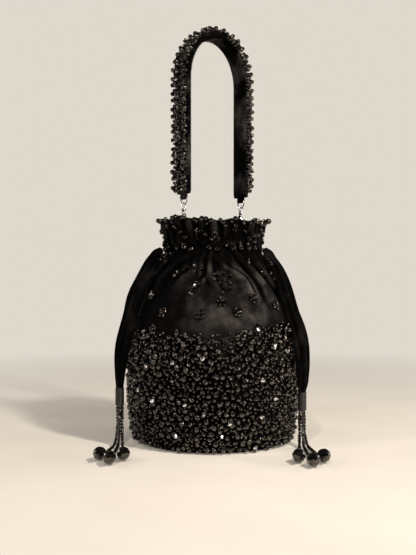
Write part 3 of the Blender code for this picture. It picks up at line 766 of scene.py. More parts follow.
def ribbon_mesh(side, phase):
    """The band faces between straight out from the bag and straight to its front, and lies a
    little over towards the bag in its upper half."""
    route = routes[side]
    total = run_of(route)
    half_at = through(RIBBON_WIDTHS[side])
    rings = []
    for i, point in enumerate(route):
        share = run_of(route[:i + 1]) / total
        half = half_at(share) * (1 + 0.05 * math.sin(share * 19 + phase))
        section = ribbon_section(half, max(point.w * 0.45, 0.0011), share, phase)
        out = off_axis(point) + Vector((0.0, -1.0, 0.0))
        along = (route[min(i + 1, len(route) - 1)].xyz - route[max(i - 1, 0)].xyz).normalized()
        across = along.cross(out.normalized()).normalized()
        facing = across.cross(along)
        inward = across * math.copysign(1.0, -across.dot(Vector((point.x, 0.0, 0.0))))
        over = inward * 0.0034 * eased(share, 0.02, 0.10) * (1 - eased(share, 0.45, 0.8))
        rings.append([point.xyz + over + across * a + facing * b for a, b in section])
    return skin_over(f"ribbon_band_{side}", rings, smooth=75)


RIBBON_WIDTHS = {
    "left": ((0, 0.0034), (0.05, 0.0078), (0.12, 0.0104), (0.30, 0.0108), (0.55, 0.0096),
             (0.80, 0.0080), (0.91, 0.0060), (1, 0.0041)),
    "right": ((0, 0.0034), (0.05, 0.0074), (0.12, 0.0092), (0.36, 0.0092), (0.70, 0.0091),
              (0.82, 0.0082), (0.92, 0.0060), (1, 0.0041))}
ribbons = {side: settle(ribbon_mesh(side, phase), ribbon_velvet, "bag", "ribbon",
                        f"ribbon_{side}") for side, phase in (("left", 0.4), ("right", 2.1))}

# %% [markdown]
# Waxed thread is wound tightly round the ribbon's end. The tree makes one long spiral, gives it a
# round section, and puts it over a plain core at the guide's only vertex.


# %% Wound thread
def wound_tree():
    tree = Tree("wound_thread", Turns="Float", Radius="Float", Height="Float", Thread="Float",
                Finish="Material")
    height, radius = tree["Height"], tree["Radius"]
    spiral = tree.add("GeometryNodeCurveSpiral", 20, tree["Turns"], radius, radius, height)
    lifted = tree.add("ShaderNodeCombineXYZ", Z=height * 0.5)
    rod = tree.add("GeometryNodeMeshCylinder", 20, Radius=radius, Depth=height)
    core = tree.add("GeometryNodeTransform", rod, Translation=lifted)
    both = tree.add("GeometryNodeJoinGeometry", [tree.tube(spiral), core])
    return tree.end(tree.add("GeometryNodeInstanceOnPoints", tree["Geometry"], Instance=both))


wound = wound_tree()
feet = {}
for side, points in RIBBONS.items():
    x, y, low = (value / 1000 for value in points[-1][:3])
    feet[side] = Vector((x, y, low - 2 * GAP - WRAP_LENGTH))
for side, foot in feet.items():
    guide = guide_mesh("wrap_guide", [foot + UP * 0.0002])
    wrap = grow(f"thread_wrap_{side}", guide, wound, Turns=26.0, Radius=WRAP_RADIUS - 0.0007,
                Height=WRAP_LENGTH + 0.0006, Thread=0.00036, Finish=thread)
    settle(wrap, None, "bag", "thread", f"tassel_wrap_{side}")

# %% [markdown]
# Three bead strands leave each wrap. They hang down, take one round bend where they reach the
# surface, and lie forward on it, as they do when the bag stands on a table. Each ends in a small
# round spacer, a large cut drop and an end bead, threaded on the same line.


# %% Strand routes
STRAND_BEND = 0.020
STRAND_SPREAD = 0.0025
STRAND_STEPS = 48
# Each strand: its name, its place round the wrap, its heading on the surface and its length.
STRANDS = (("outer", 150, -7, 0.077), ("middle", 270, 0, 0.088), ("inner", 30, 7, 0.077))


def strand_route(start, length, heading):
    """Down from the wrap, through one round bend, then forward along the surface."""
    drop = start.z - STRAND_RADIUS - STRAND_BEND
    ahead = Vector((math.sin(math.radians(heading)), -math.cos(math.radians(heading)), 0.0))
    route = []
    for i in range(STRAND_STEPS + 1):
        run = length * i / STRAND_STEPS
        turn = min(max((run - drop) / STRAND_BEND, 0.0), math.pi / 2)
        beyond = max(run - drop - STRAND_BEND * math.pi / 2, 0.0)
        forward = STRAND_BEND * (1 - math.cos(turn)) + beyond
        sunk = min(run, drop) + STRAND_BEND * math.sin(turn)
        route.append(start + ahead * forward - UP * sunk)
    return route, ahead


strands = []
for side, foot in feet.items():
    for name, azimuth, heading, length in STRANDS:
        start = foot + around(STRAND_SPREAD, math.radians(azimuth), -GAP)
        strands.append((f"{name}_{side}", *strand_route(start, length, heading), length))
print(len(strands), "strands")


# %% Drops and strands
SPACER_RADIUS = 0.0026
SPACER_LENGTH = 0.0026
END_RADIUS = 0.0021
END_LENGTH = 0.0042
DROP_RADIUS = 0.0060
DROP_LENGTH = 0.0210
DROP_WAIST = 0.62
DROP_FACETS = 10
DROP_OUTLINE = ((0.0010, 0.0000), (0.0016, 0.0006), (0.0030, 0.0040), (0.0045, 0.0080),
                (0.0057, 0.0115), (DROP_RADIUS, 0.0140), (0.0055, 0.0168), (0.0038, 0.0192),
                (0.0016, DROP_LENGTH))


def drop_mesh():
    """A cut drop: facets between rings that are turned by half a facet from one to the next."""
    shape = bmesh.new()
    rings = []
    for row, (radius, z) in enumerate(DROP_OUTLINE):
        rings.append([shape.verts.new(around(
            radius, 2 * math.pi * (i + row / 2) / DROP_FACETS, z)) for i in range(DROP_FACETS)])
    for below, above in zip(rings, rings[1:]):
        for i in range(DROP_FACETS):
            j = (i + 1) % DROP_FACETS
            shape.faces.new((below[i], below[j], above[i]))
            shape.faces.new((below[j], above[j], above[i]))
    shape.faces.new(rings[0][::-1])
    shape.faces.new(rings[-1])
    return outward(shape, "drop", None)


def rondelle(radius, length):
    outline = [(radius * a, length * b) for a, b in
               ((0.35, 0.0), (0.75, 0.06), (1, 0.32), (1, 0.68), (0.75, 0.94), (0.35, 1))]
    return turned("rondelle", outline, 12, None)


tilt = math.asin((DROP_RADIUS - SPACER_RADIUS) / (DROP_LENGTH * DROP_WAIST + SPACER_LENGTH))
for name, route, ahead, length in strands:
    axis = ahead * math.cos(tilt) + UP * math.sin(tilt)
    turn = UP.rotation_difference(axis).to_matrix().to_4x4()
    place = route[-1] + ahead * (GAP + SPACER_RADIUS * math.sin(tilt))
    place.z = SPACER_RADIUS * 1.05
    for kind, mesh, run in (("spacer", rondelle(SPACER_RADIUS, SPACER_LENGTH), SPACER_LENGTH),
                            ("drop", drop_mesh(), DROP_LENGTH),
                            ("end_bead", rondelle(END_RADIUS, END_LENGTH), END_LENGTH)):
        mesh.name = f"cut_{kind}_{name}"
        mesh.transform(Matrix.Translation(place) @ turn)
        settle(mesh, cut_glass, "bag", "black_bead", f"{kind}_{name}")
        place = place + axis * (run + GAP)
    piece = grow(f"bead_strand_{name}", line_guide("strand_guide", route), strung,
                 Bead=round_bead, Pitch=0.0030, Small=0.0024, Large=0.0038, Thread=0.0004,
                 Seed=len(name), Finish=bead_glass, **tipped(0.3))
    settle(piece, None, "bag", "black_bead", f"strand_{name}")

for side, band in ribbons.items():
    route = routes[side]

# %% [markdown]
# Now the pouch. Its mean radius at each height is a smooth curve through a few stations, and the
# folds are added to it. Gathers with round tops and sharp valleys run down from the drawstring,
# and larger swags sweep sideways from the neck to the shoulder.


# %% Pouch profile
NECK = 0.1880
RIM = 0.2165
CLOTH = 0.0016
cloth_radius = through(((0.0, 0.0725), (0.012, 0.0772), (0.060, 0.0807), (0.112, 0.0790),
                        (0.150, 0.0630), (0.174, 0.0540), (NECK, 0.0460), (RIM, 0.0500)))
fold_depth = through(((0.0, 0.0), (0.105, 0.0), (0.130, 0.0024), (0.174, 0.0034),
                      (NECK, 0.0016), (RIM, 0.0026)))
print("radius at the belly:", round(cloth_radius(0.06), 4), "at the neck:", cloth_radius(NECK))

# %% Folds of the velvet
# Each fold: its (azimuth, height) stations from the neck down, how far it stands out, its
# half-width, and the side on which it drops into a crease. Degrees and millimetres; -90 is the
# front, and the back has the same folds.
FOLDS = (
    (((-63, 187), (-61, 177), (-52, 168), (-44, 159), (-39, 148), (-38, 132)), 4.6, 4.6, -1),
    (((-88, 183), (-81, 171), (-72, 166), (-64, 160), (-60, 150), (-58, 136)), 3.4, 5.0, 1),
    (((-48, 187), (-44, 176), (-31, 161), (-16, 144), (-6, 124)), 3.6, 4.8, -1),
    (((-95, 186), (-94, 170), (-92, 161), (-87, 151), (-83, 141)), 3.4, 2.8, 1),
    (((-99, 184), (-98, 166), (-102, 158), (-110, 146)), -1.6, 2.4, 1),
    (((-110, 187), (-119, 177), (-128, 172), (-139, 162), (-145, 151), (-143, 136)), 3.8, 4.4, 1),
    (((-134, 187), (-142, 177), (-154, 167), (-168, 156), (-174, 142)), 3.4, 4.4, 1),
    (((-103, 187), (-106, 170), (-115, 161), (-121, 151), (-122, 138)), 2.2, 5.5, -1),
    (((-26, 187), (-20, 174), (-6, 160), (4, 146), (6, 130)), 3.0, 4.6, -1),
    (((-76, 187), (-71, 180), (-66, 174), (-58, 166)), 1.8, 3.0, 1))
gather_depth = through(((0.120, 0.0), (0.162, 0.0002), (0.174, 0.0010), (0.183, 0.0017),
                        (NECK, 0.0008), (0.193, 0.0015), (0.205, 0.0028), (RIM, 0.0036)))
drape_depth = through(((0.108, 0.0), (0.135, 0.0006), (0.158, 0.0009), (0.176, 0.0006),
                       (NECK, 0.0)))


GATHERS = 33
RUFFLES = 22
SWAGS = 9


def ridge(turns):
    """Round tops and sharp valleys, from -1 to 1, once in each turn."""
    return 2.0 * abs(math.cos(math.pi * turns)) - 1.0


def fold_line(stations, turn):
    """The fold's azimuth at each height, kept for the heights already asked for."""
    line = through([(height / 1000, math.radians(azimuth + turn))
                    for azimuth, height in reversed(stations)])
    return functools.lru_cache(maxsize=None)(line)


fold_lines = [(fold_line(stations, turn), stations[-1][1] / 1000, stations[0][1] / 1000,
               stand / 1000, half / 1000, drop)
              for turn in (0, 184) for stations, stand, half, drop in FOLDS]


def fold_stand(angle, height, line, low, high, stand, half, drop):
    """How far one fold lifts the cloth: a round crest with a crease along one side of it."""
    if not low < height < high:
        return 0.0
    away = (angle - line(height) + math.pi) % (2 * math.pi) - math.pi
    across = away * cloth_radius(height) / (half * (0.75 + 0.8 * (high - height) / (high - low)))
    if abs(across) > 3.5:
        return 0.0
    fade = eased(height, low, low + 0.018) * eased(high - height, 0.0, 0.007)
    crest = math.exp(-across * across)
    crease = 0.75 * math.exp(-abs(across - 1.25 * drop) / 0.34)
    return stand * fade * (crest - crease)


def skin_radius(angle, height):
    """The velvet's outer radius with all its folds."""
    lean = 1.1 * math.sin(3 * angle + 0.6) + 0.8 * math.sin(5 * angle + 2.0)
    turns = angle / (2 * math.pi)
    collar = eased(height, NECK - 0.002, NECK + 0.006)
    gathers = (1 - collar) * ridge(GATHERS * turns + 0.3 * lean) + collar * (
        0.75 * ridge(RUFFLES * turns + 0.3 * lean + 6.0 * (height - NECK))
        + 0.35 * math.cos(9 * angle + 1.0))
    out = gather_depth(height) * gathers
    swag = ridge(SWAGS * turns + 0.2 * lean + 3.5 * (height - 0.15))
    out += drape_depth(height) * (0.7 * swag + 0.3 * math.cos(4 * angle + 0.7))
    out += sum(fold_stand(angle, height, *fold) for fold in fold_lines)
    place = Vector((math.cos(angle) * 0.07, math.sin(angle) * 0.07, height))
    crumple = noise.noise(place * 75.0) * 0.0006 + noise.noise(place * 190.0) * 0.0002
    out += crumple * eased(height, 0.100, 0.135)
    return cloth_radius(height) + max(out, -fold_depth(height) - 0.0006)


def rim_lift(angle, height):
    """The collar's edge waves up and down, and dips towards the front right."""
    share = eased(height, NECK + 0.004, RIM)
    wave = 0.0011 * math.sin(5 * angle + 0.4) + 0.0009 * math.sin(11 * angle + 1.7)
    dip = 0.0030 * max(math.cos(angle + math.radians(48)), 0.0) ** 2
    return share * (wave - dip)


def skin(angle, height):
    return around(skin_radius(angle, height), angle, height + rim_lift(angle, height))


def on_skin(angle, height, lift):
    """A point above the velvet, and the direction out of it there."""
    around = skin(angle + 0.012, height) - skin(angle - 0.012, height)
    upward = skin(angle, height + 0.0008) - skin(angle, height - 0.0008)
    out = around.cross(upward).normalized()
    return skin(angle, height) + out * lift, out


print(len(fold_lines), "folds")

# %% [markdown]
# The velvet is one gathered sheet. Its rows are close where the folds are and far apart where
# beads hide it. The rim turns over in a small roll, and the same rows inward by the cloth's
# thickness close the sheet.


# %% Velvet pouch
COLUMNS = 360


def even(low, high, count):
    return [low + (high - low) * i / count for i in range(count)]


def shrunk(rows, depth, rise=0.0):
    """Rows moved towards the bag's axis and raised."""
    return [[p - off_axis(p) * depth + UP * rise for p in row] for row in rows]


def crests(row):
    """How far each point of a row stands out from its neighbours, from 0 to 1.

    This is the mask of the velvet's painted sheen. The tight gathers under the drawstring get
    little of it and stay dark as painted shade, and the tops of the collar's ruffles count for
    more, because they lie far from the sheen's spot.
    """
    radii = [math.hypot(p.x, p.y) for p in row]
    height = sum(p.z for p in row) / len(row)
    ruffle = eased(height, NECK + 0.002, NECK + 0.008)
    share = 1.0 - 0.9 * eased(height, 0.166, 0.177) + 4.5 * ruffle
    for i, radius in enumerate(radii):
        beside = (radii[i - 4] + radii[(i + 4) % len(radii)]) / 2
        base = 0.45 - 0.55 * ruffle
        yield share * min(max(base + (radius - beside) / 0.0022, 0.0), 1.0)


def pouch_mesh():
    heights = (even(0.0, 0.012, 4) + even(0.012, 0.100, 8) + even(0.100, NECK, 70)
               + even(NECK, RIM, 24) + [RIM])
    outer = [[skin(angle, height) for angle in circle(COLUMNS)] for height in heights]
    roll = []
    for depth, rise in ((0.0002, 0.0005), (0.0008, 0.0008), (0.0014, 0.0005)):
        roll += shrunk(outer[-1:], depth, rise)
    rings = outer + roll + shrunk(outer, CLOTH)[::-1]
    mesh = skin_over("velvet_pouch", rings, closed=True, smooth=80)
    # The crest attribute is the mask of the velvet's painted sheen on fold tops and painted shade
    # in the hollows.
    values = [value for row in outer for value in crests(row)]
    values += [0.5] * (len(mesh.vertices) - len(values))
    mesh.attributes.new("crest", "FLOAT", "POINT").data.foreach_set("value", values)
    return mesh


pouch = settle(pouch_mesh(), velvet, "bag", "velvet", "pouch")

# %% [markdown]
# The lining is a satin bag in small pleats. It stays just inside the velvet and is drawn in behind
# the drawstring, where it ends as a facing.


# %% Satin lining
LINING = through(((0.0046, 0.0704), (0.012, 0.0738), (0.035, 0.0768), (0.060, 0.0776),
                  (0.088, 0.0770), (0.112, 0.0757), (0.130, 0.0690), (0.145, 0.0595),
                  (0.160, 0.0520), (0.172, 0.0465), (0.181, 0.0408), (0.190, 0.0405),
                  (0.200, 0.0405)))
LINING_COLUMNS = 240
PLEATS = 34
SATIN = 0.0008


def lining_mesh():
    outer = []
    for height in even(0.0046, 0.110, 12) + even(0.110, 0.200, 26) + [0.200]:
        pleat = 0.0017 * eased(height, 0.09, 0.165)
        row = []
        for angle in circle(LINING_COLUMNS):
            turns = PLEATS * angle / (2 * math.pi) + 0.3 * math.sin(4 * angle + 5 * height)
            row.append(around(LINING(height) - pleat * (1 - ridge(turns)) / 2, angle, height))
        outer.append(row)
    inner = shrunk(outer, SATIN)
    floor = [[p * 0.985 + UP * 0.0006 for p in inner[0]]]
    return skin_over("satin_lining", outer + inner[:0:-1] + floor, smooth=80)


lining = settle(lining_mesh(), satin, "bag", "satin", "lining")

# %% [markdown]
# The crust of beads lies on a band of the same skin. Each vertex of the band says how crowded it
# is: full below the embroidery's edge, then thinning out unevenly above it. Small beads are spread
# close to the cloth, and larger ones on top of them, tipped every way so that their holes show.


# %% Bead crust
def bead_edge(angle):
    """The embroidery's upper edge, which climbs towards the right and is ragged all round."""
    climb = 0.012 * max(math.cos(angle + math.radians(25)), 0.0) ** 2
    ragged = noise.noise(Vector((math.cos(angle) * 5, math.sin(angle) * 5, 0.3))) * 0.0045
    return 0.1045 + climb + ragged


def band_guide(low, high, rows, columns):
    points = []
    crowd = []
    for j in range(rows + 1):
        height = low + (high - low) * j / rows
        for angle in circle(columns):
            points.append(skin(angle, height))
            crowd.append(1 - eased(height, bead_edge(angle) - 0.003, bead_edge(angle) + 0.0075))
    guide = guide_mesh("band_guide", points, (), quads(rows + 1, columns))
    density = guide.data.attributes.new("density", "FLOAT", "POINT")
    density.data.foreach_set("value", crowd)
    return guide


# Each layer: its name, its beads, the share of cut ones, the spacing, the most to a square metre,
# the sizes, the lifts off the cloth, the random seed and the finish.
CRUST = (("small_crust_beads", small_bead, small_bead, 0.0, 0.0033, 260000.0, 0.0027, 0.0034,
          0.0008, 0.0016, 3, bead_glass),
         ("large_crust_beads", round_bead, cut_bead, 0.25, 0.0050, 120000.0, 0.0038, 0.0056,
          0.0021, 0.0039, 11, bead_glass),
         ("crystal_beads", cut_bead, cut_bead, 0.0, 0.018, 1700.0, 0.0040, 0.0052,
          0.0042, 0.0048, 5, crystal))
band = band_guide(0.0042, 0.128, 48, 180)
for name, plain, cut, share, spacing, crowd, small, large, low, high, seed, finish in CRUST:
    layer = grow(name, band, scattered, keep=True, Bead=plain, Cut_Bead=cut, Cut_Share=share,
                 Spacing=spacing, Crowd=crowd, Small=small, Large=large, Lift_Low=low,
                 Lift_High=high, Seed=seed, Finish=finish, **tipped(1.05))
    settle(layer, None, "bag", "black_bead")
bpy.data.objects.remove(band)

# %% [markdown]
# Above the crust the beads are sewn one by one: little flowers of a centre and its petals, groups
# on shoulder and collar, a row of larger beads round the neck, and a spaced row along the rim.


# %% Flowers and rows
# Azimuth in degrees and height in millimetres; -90 is the front, and the back repeats it.
FLOWERS = ((-84, 137.5), (-58, 140.3), (-36, 133.1), (-73, 128.1), (-99, 125.9), (-128, 127.3),
           (-148, 143), (-158, 123.8), (-134, 111.5), (-170, 151), (-16, 141), (-8, 126.5))
SHOULDER_BEADS = ((-127, 161.1), (-123, 164.4), (-118, 167.1), (-113, 168.9), (-107, 170),
                  (-101, 168.8), (-108, 144.6), (-107.5, 148.4), (-105.5, 151.4), (-102.5, 153.8),
                  (-90, 162.7), (-86, 163.7), (-81, 163), (-75.5, 160.3), (-90, 157.9),
                  (-85.5, 159.2), (-85, 155.1), (-80, 157.1), (-76, 154.7), (-82, 151.4),
                  (-76.5, 149.2), (-83, 146.5), (-39.5, 167.2), (-38, 163.8), (-34.5, 160.6),
                  (-29, 162.8), (-28, 158.6), (-21, 156.8), (-14, 155.4), (-2, 154.3), (-1, 150.2),
                  (-2, 146.4), (-180, 173.4), (-180, 177.9), (-167, 181), (-159, 176.4),
                  (-150, 178), (-142, 175.6), (-157, 181.6), (-148, 182.2), (-22, 175.5),
                  (-14, 172), (-6, 176), (-52, 176.5), (-57, 173))
COLLAR_BEADS = ((-148, 211), (-144, 213.5), (-162, 195), (-170, 192.2), (-156, 192), (-126, 191.5),
                (-109, 206), (-103, 204.6), (-108, 201.4), (-111, 197.6), (-100, 201.2),
                (-88, 203.4), (-88, 199.2), (-85, 195.5), (-91, 196.6), (-75, 191.8), (-59, 193),
                (-47, 192.6), (-34, 194.8), (-67, 210.2), (-67, 205.6), (-51, 206.4), (-45, 204.4),
                (-40, 202), (-46, 198), (-77, 212.2), (-98, 212.2), (-180, 211.5), (-178, 206.5),
                (-180, 200.8), (-180, 195.5), (-28, 210), (-14, 207.4), (-2, 202), (-16, 198.2),
                (-3, 195), (-128, 203), (-133, 207.5), (-121, 199), (-163, 206), (-24, 203))
dice = random.Random(7)


def jitter(most):
    return dice.uniform(-most, most)


def sewn_at(azimuth, height, lift, small, large):
    """A bead's place, the way it faces and its size."""
    return (*on_skin(math.radians(azimuth), height, lift), dice.uniform(small, large))


def flower(azimuth, height):
    """A centre bead with petals round it, each on the cloth under it."""
    places = [sewn_at(azimuth, height, 0.0030, 0.0038, 0.0046)]
    start = dice.uniform(0, FULL_TURN)
    petals = dice.choice((5, 6, 6))
    for i in range(petals):
        way = start + 2 * math.pi * i / petals + jitter(0.15)
        far = 0.0033 * dice.uniform(0.92, 1.1)
        side = math.degrees(far * math.cos(way) / cloth_radius(height))
        places.append(sewn_at(azimuth + side, height + far * math.sin(way), 0.0015, 0.0031,
                              0.0038))
    return places


places = []
for turn in (0, 180):
    for azimuth, height in FLOWERS:
        places += flower(azimuth + turn, height / 1000)
    for azimuth, height in SHOULDER_BEADS:
        places.append(sewn_at(azimuth + turn, height / 1000, 0.0017, 0.0035, 0.0046))
sew("flower_beads", places, 0.5, 21)

sew("collar_beads", [sewn_at(azimuth + turn, height / 1000, 0.0018, 0.0038, 0.0050)
                     for turn in (0, 180) for azimuth, height in COLLAR_BEADS], 0.6, 22)

NECK_BEADS = 38
places = []
for i in range(NECK_BEADS):
    if dice.random() < 0.10:
        continue
    azimuth = 360 * i / NECK_BEADS + jitter(1.4)
    places.append(sewn_at(azimuth, NECK + dice.uniform(-0.0016, 0.0018), 0.0024, 0.0048, 0.0062))
sew("neck_beads", places, 0.5, 23, cut_share=0.4)

RIM_BEADS = 60
places = []
for i in range(RIM_BEADS):
    azimuth = 360 * i / RIM_BEADS + jitter(1.8)
    place, out, size = sewn_at(azimuth, RIM - dice.uniform(-0.0010, 0.0014), 0.0018, 0.0042,
                               0.0056)
    places.append((place, (out + UP * 0.5).normalized(), size))
sew("rim_beads", places, 0.6, 24)

# %% [markdown]
# The handle is a padded velvet strap that stands in an arch over two clasps. Its plane is turned
# about the bag's axis, so all of it is made in that plane first and turned at the end.

# %% Strap path
YAW = Matrix.Rotation(math.radians(34), 4, "Z")
SWING = 0.2185
HALF_SPAN = 0.0345
STRAP_END = 0.2416
LEG = 0.1125
ARCH = 0.0460
STRAP_HALF = 0.0030
STRAP_WIDTH = 0.0210
STRAP_EDGE = STRAP_WIDTH / 2
CROWN = 0.0007
LEG_STEPS = 40


def arch_line():
    """Close points of the strap's centreline: leg, half an ellipse, leg."""
    top = STRAP_END + LEG
    fine = [Vector((-HALF_SPAN, 0.0, STRAP_END + LEG * i / LEG_STEPS)) for i in range(LEG_STEPS)]
    fine += [Vector((-HALF_SPAN * math.cos(math.pi * i / 180), 0.0,
                     top + ARCH * math.sin(math.pi * i / 180))) for i in range(181)]
    fine += [Vector((HALF_SPAN, 0.0, top - LEG * (i + 1) / LEG_STEPS)) for i in range(LEG_STEPS)]
    return fine


centre = read_evenly(arch_line(), 690)
strap_run = run_of(centre)
print("strap is", round(strap_run * 1000), "mm long")


def strap_place(run):
    """Point, outward and sideways directions at a run along the strap."""
    at = min(max(run / strap_run, 0.0), 1.0) * (len(centre) - 1)
    i = min(int(at), len(centre) - 2)
    point = centre[i].lerp(centre[i + 1], at - i)
    along = (centre[min(i + 2, len(centre) - 1)] - centre[max(i - 1, 0)]).normalized()
    return point, Vector((-along.z, 0.0, along.x)), Vector((0.0, 1.0, 0.0))


def crown(across):
    """How far the padding stands up at a place across the strap."""
    return CROWN * (1 - (across / STRAP_EDGE) ** 2)


# %% Padded strap
def rounded(value, power):
    return math.copysign(abs(value) ** power, value)


def strap_mesh():
    """Rings of a soft flat section, drawn in at both ends, with a seam along each edge."""
    runs = [0.0, 0.0005, 0.0013, 0.0026]
    runs += [0.0026 + (strap_run - 0.0052) * i / 170 for i in range(1, 171)]
    runs += [strap_run - 0.0013, strap_run - 0.0005, strap_run]
    rings = []
    for run in runs:
        point, out, side = strap_place(run)
        end = min(run, strap_run - run)
        pull = 0.80 + 0.20 * math.sqrt(min(end / 0.0026, 1.0))
        ring = []
        for way in circle(44):
            a = STRAP_HALF * rounded(math.cos(way), 0.6) * pull
            b = STRAP_EDGE * rounded(math.sin(way), 0.75) * (0.85 + 0.15 * pull)
            seam = 0.0003 * math.exp(-((abs(b) - 0.0080) / 0.0008) ** 2)
            pucker = noise.noise(Vector((run * 160, b * 200, a * 150))) * 0.0004
            a += (crown(b) if a > 0 else -0.4 * crown(b) + seam) + math.copysign(pucker, a)
            ring.append(point + out * a + side * b)
        rings.append(ring)
    mesh = skin_over("padded_strap", rings, smooth=80)
    mesh.transform(YAW)
    return mesh


strap = settle(strap_mesh(), strap_velvet, "handle", "velvet", "handle_strap")

# %% [markdown]
# Large beads stand in staggered rows over the strap's outer face, with smaller ones between them.
# On the inner face two lines of stitches hold the facing, made by stringing stitches along lines.


# %% Strap beads and stitches
def on_strap(run, across, lift):
    """A place over the strap's outer face, and the direction out of it."""
    point, out, side = strap_place(run)
    tip = out + side * (across / STRAP_EDGE) * 0.45
    where = point + out * (STRAP_HALF + crown(across) + lift) + side * across
    turn = YAW.to_3x3()
    return turn @ where, (turn @ tip).normalized()


def on_near_edge(run, raised, lift):
    """A place on the strap's edge towards the viewer, and the direction out of it."""
    point, out, side = strap_place(run)
    where = point + out * raised - side * (STRAP_EDGE + lift)
    turn = YAW.to_3x3()
    return turn @ where, (turn @ (out * 0.4 - side)).normalized()


LANES = ((-0.0094, -0.0049, 0, 0.0049, 0.0094), (-0.0072, -0.0026, 0.0026, 0.0072))
ROW_STEP = 0.0038
FAR_HALF = 0.52
FILLERS = 260
SEAM_POINTS = 260
places = []
row = 0
run = 0.0034
while run < strap_run - 0.003:
    for lane in LANES[row % 2]:
        spot = on_strap(run + jitter(0.0006), lane + jitter(0.0005), dice.uniform(0.0012, 0.0020))
        places.append((*spot, dice.uniform(0.0033, 0.0042)))
    if row % 2:
        for lane in (-0.0100, jitter(0.004), 0.0100):
            spot = on_strap(run + jitter(0.0012), lane, dice.uniform(0.0030, 0.0038))
            places.append((*spot, dice.uniform(0.0042, 0.0050)))
    if run > strap_run * FAR_HALF:
        for raised in (0.0006, 0.0030):
            spot = on_near_edge(run + jitter(0.001), raised, dice.uniform(0.0008, 0.0014))
            places.append((*spot, dice.uniform(0.0033, 0.0042)))
    run += ROW_STEP
    row += 1
for i in range(FILLERS):
    spot = on_strap(dice.uniform(0.003, strap_run - 0.003), jitter(0.0098), 0.0008)
    places.append((*spot, dice.uniform(0.0025, 0.0031)))
sew("strap_beads", places, 0.9, 31, body="handle")

for name, side in (("near", -1), ("far", 1)):
    line = []
    for i in range(SEAM_POINTS):
        point, out, across = strap_place(0.004 + (strap_run - 0.008) * i / (SEAM_POINTS - 1))
        line.append(YAW @ (point - out * (STRAP_HALF - 0.0001) + across * side * 0.0086))
    seam = grow(f"strap_stitches_{name}", line_guide("stitch_guide", line), strung, Bead=stitch,
                Pitch=0.0030, Small=0.0016, Large=0.0019, Thread=0.00008, Seed=41,
                Finish=strap_velvet, **tipped(0.08))
    settle(seam, None, "handle", "thread")

# %% [markdown]
# Two swivel clasps carry the strap. From the bottom: a ring in the collar, the hook with its
# spring gate, a barrel that turns on the post of a small eye, the D-ring and a velvet tab.


# %% Clasp shapes
RING_RADIUS = 0.0050
RING_WIRE = 0.0008
HOOK_WIRE = 0.00075
HOOK_RADIUS = 0.0026
HOOK_LOW = 0.00075
HOOK_HIGH = 0.00495
BARREL_LOW = 0.0068
EYE = 0.0119
EYE_RADIUS = 0.0023
D_BAR = 0.0196
D_HALF = 0.0060
D_HEIGHT = 0.0070


def arc(centre_a, centre_b, radius, start, end, steps):
    angles = [math.radians(start + (end - start) * i / steps) for i in range(steps + 1)]
    return [(centre_a + radius * math.cos(a), centre_b + radius * math.sin(a)) for a in angles]


ACROSS = Vector((1.0, 0.0, 0.0))
FACING = Vector((0.0, 1.0, 0.0))


def upright(points, way):
    """Points of (distance along a level way, height)."""
    return [way * a + UP * b for a, b in points]


def hook_path():
    """The hook in its own plane, smooth where the straight back meets the two bends."""
    start = (HOOK_RADIUS, HOOK_LOW + 0.0005)
    low = arc(0.0, HOOK_LOW, HOOK_RADIUS, 0, -180, 20)
    high = arc(0.0, HOOK_HIGH, HOOK_RADIUS, 180, 0, 20)
    return upright([start] + low + high, FACING)


def hook_mesh(name):
    """The hook's wire, with its barrel on the upper bend."""
    barrel = ((0.0012, -0.0003), (0.0021, 0.0), (0.0025, 0.0004), (0.0025, 0.0016),
              (0.0021, 0.0020), (0.0011, 0.0020), (0.0011, 0.0004))
    outline = [(radius, BARREL_LOW + z) for radius, z in barrel]
    return joined(name, (sweep("hook", hook_path(), ACROSS, round_section(HOOK_WIRE)),
                         turned("barrel", outline, 24, 40, closed=True)), 45)


def gate_mesh(name):
    """A small lever with a thumb stud, hinged at its upper end."""
    low = HOOK_LOW + 0.0009
    high = HOOK_HIGH - 0.0004
    mid = (low + high) / 2
    outline = [(-0.0006, low), (0.0004, low), (0.0007, mid - 0.0006), (0.0018, mid - 0.0001),
               (0.0022, mid + 0.0004), (0.0016, mid + 0.0006), (0.0007, mid + 0.0008),
               (0.0005, high), (-0.0004, high), (-0.0006, high - 0.0003)]
    rings = []
    for x, shrink in ((-0.0007, 0.82), (-0.0005, 1.0), (0.0005, 1.0), (0.0007, 0.82)):
        rings.append([Vector((x, HOOK_RADIUS + a * shrink, mid + (b - mid) * (0.9 + 0.1 * shrink)))
                      for a, b in outline])
    return skin_over(name, rings, smooth=35)


def eye_mesh(name):
    """The ring of the swivel's eye, and the post below it on which the barrel turns."""
    ring = upright(arc(0.0, EYE, EYE_RADIUS, 0, 350, 35), ACROSS)
    post = ((0.0002, 0.0056), (0.0012, 0.0056), (0.0013, 0.0062), (0.0008, 0.0063),
            (0.0008, 0.0091), (0.0015, 0.0091), (0.0016, 0.0095), (0.0012, 0.0099),
            (0.0002, 0.0099))
    return joined(name, (sweep("eye", ring, FACING, round_section(0.0006), closed=True),
                         turned("post", post, 20, 40)), 45)


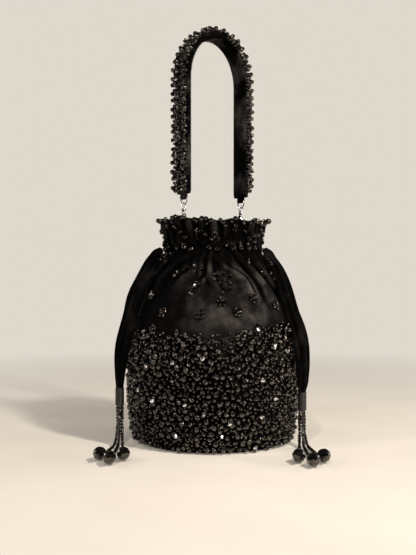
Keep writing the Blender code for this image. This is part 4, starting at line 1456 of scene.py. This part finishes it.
def d_ring_mesh(name):
    """A bent rod: a straight bar at the top, round corners, and a bow that narrows below."""
    bow = [(D_HALF * math.cos(math.radians(a)) * (1 - 0.10 * math.sin(math.radians(-a)) ** 2),
            D_BAR + D_HEIGHT * math.sin(math.radians(a))) for a in range(-6, -175, -6)]
    corner_left = arc(-D_HALF + 0.0013, D_BAR - 0.0010, 0.0012, 170, 92, 6)
    corner_right = arc(D_HALF - 0.0013, D_BAR - 0.0010, 0.0012, 88, 10, 6)
    bar = [(-0.0030, D_BAR), (0.0, D_BAR), (0.0030, D_BAR)]
    path = bow[1:-1] + corner_left + bar + corner_right
    return sweep(name, upright(path, FACING), ACROSS, round_section(0.0007), closed=True)


def tab_mesh(name):
    """A velvet tape down from the strap's end, round the bar and up again."""
    back = [(-0.0010, D_BAR + 0.0042), (-0.0013, D_BAR + 0.0022)]
    round_bar = arc(0.0, D_BAR, 0.0016, 170, 370, 14)
    front = [(0.0013, D_BAR + 0.0022), (0.0010, D_BAR + 0.0042)]
    path = upright(back + round_bar + front, ACROSS)
    section = [(a * 0.00052, b * 0.0040) for a, b in
               ((1, -0.94), (1, 0.94), (0.5, 1.0), (-0.5, 1.0), (-1, 0.94), (-1, -0.94),
                (-0.5, -1.0), (0.5, -1.0))]
    return sweep(name, path, FACING, section, smooth=50)


print("clasp shapes ready")

# %% Clasps in place
def ring_mesh(name):
    ring = upright(arc(0.0, -RING_RADIUS, RING_RADIUS, 0, 352.5, 47), ACROSS)
    return sweep(name, ring, FACING, round_section(RING_WIRE), closed=True)


# Each piece: its name, what makes it, its finish, its body, its slot and the node it replaces.
CLASP = (("ring", ring_mesh, nickel, "bag", "steel", "collar_ring"),
         ("hook", hook_mesh, nickel, "clasp_{}", "steel", "clasp_hook"),
         ("gate_lever", gate_mesh, nickel, "gate_{}", "steel", "clasp_gate"),
         ("eye_post", eye_mesh, nickel, "handle", "steel", "swivel_eye"),
         ("bent_d_ring", d_ring_mesh, nickel, "handle", "steel", "d_ring"),
         ("velvet_tab", tab_mesh, strap_velvet, "handle", "velvet", "strap_tab"))
for side, sign in (("left", -1), ("right", 1)):
    turn = YAW @ Matrix.Translation((sign * HALF_SPAN, 0.0, SWING))
    for name, maker, finish, body, slot, node in CLASP:
        mesh = maker(f"{name}_{side}")
        mesh.transform(turn)
        settle(mesh, finish, body.format(side), slot, f"{node}_{side}")

# %% [markdown]
# The base, its board, the drawstrings in their channel and the tapes that hold the collar rings
# keep the frame's own shapes and only get a finish. Then the four bead shapes leave the scene.


# %% Finish for the plain nodes
for node, finish in (("base_panel", velvet), ("base_board", board),
                     ("drawstring_loop_upper", strap_velvet),
                     ("drawstring_loop_lower", strap_velvet),
                     ("hanger_loop_left", strap_velvet), ("hanger_loop_right", strap_velvet)):
    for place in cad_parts[node].material_slots:
        place.link = "OBJECT"
        place.material = finish
for shape in (round_bead, cut_bead, small_bead, stitch):
    bpy.data.objects.remove(shape)
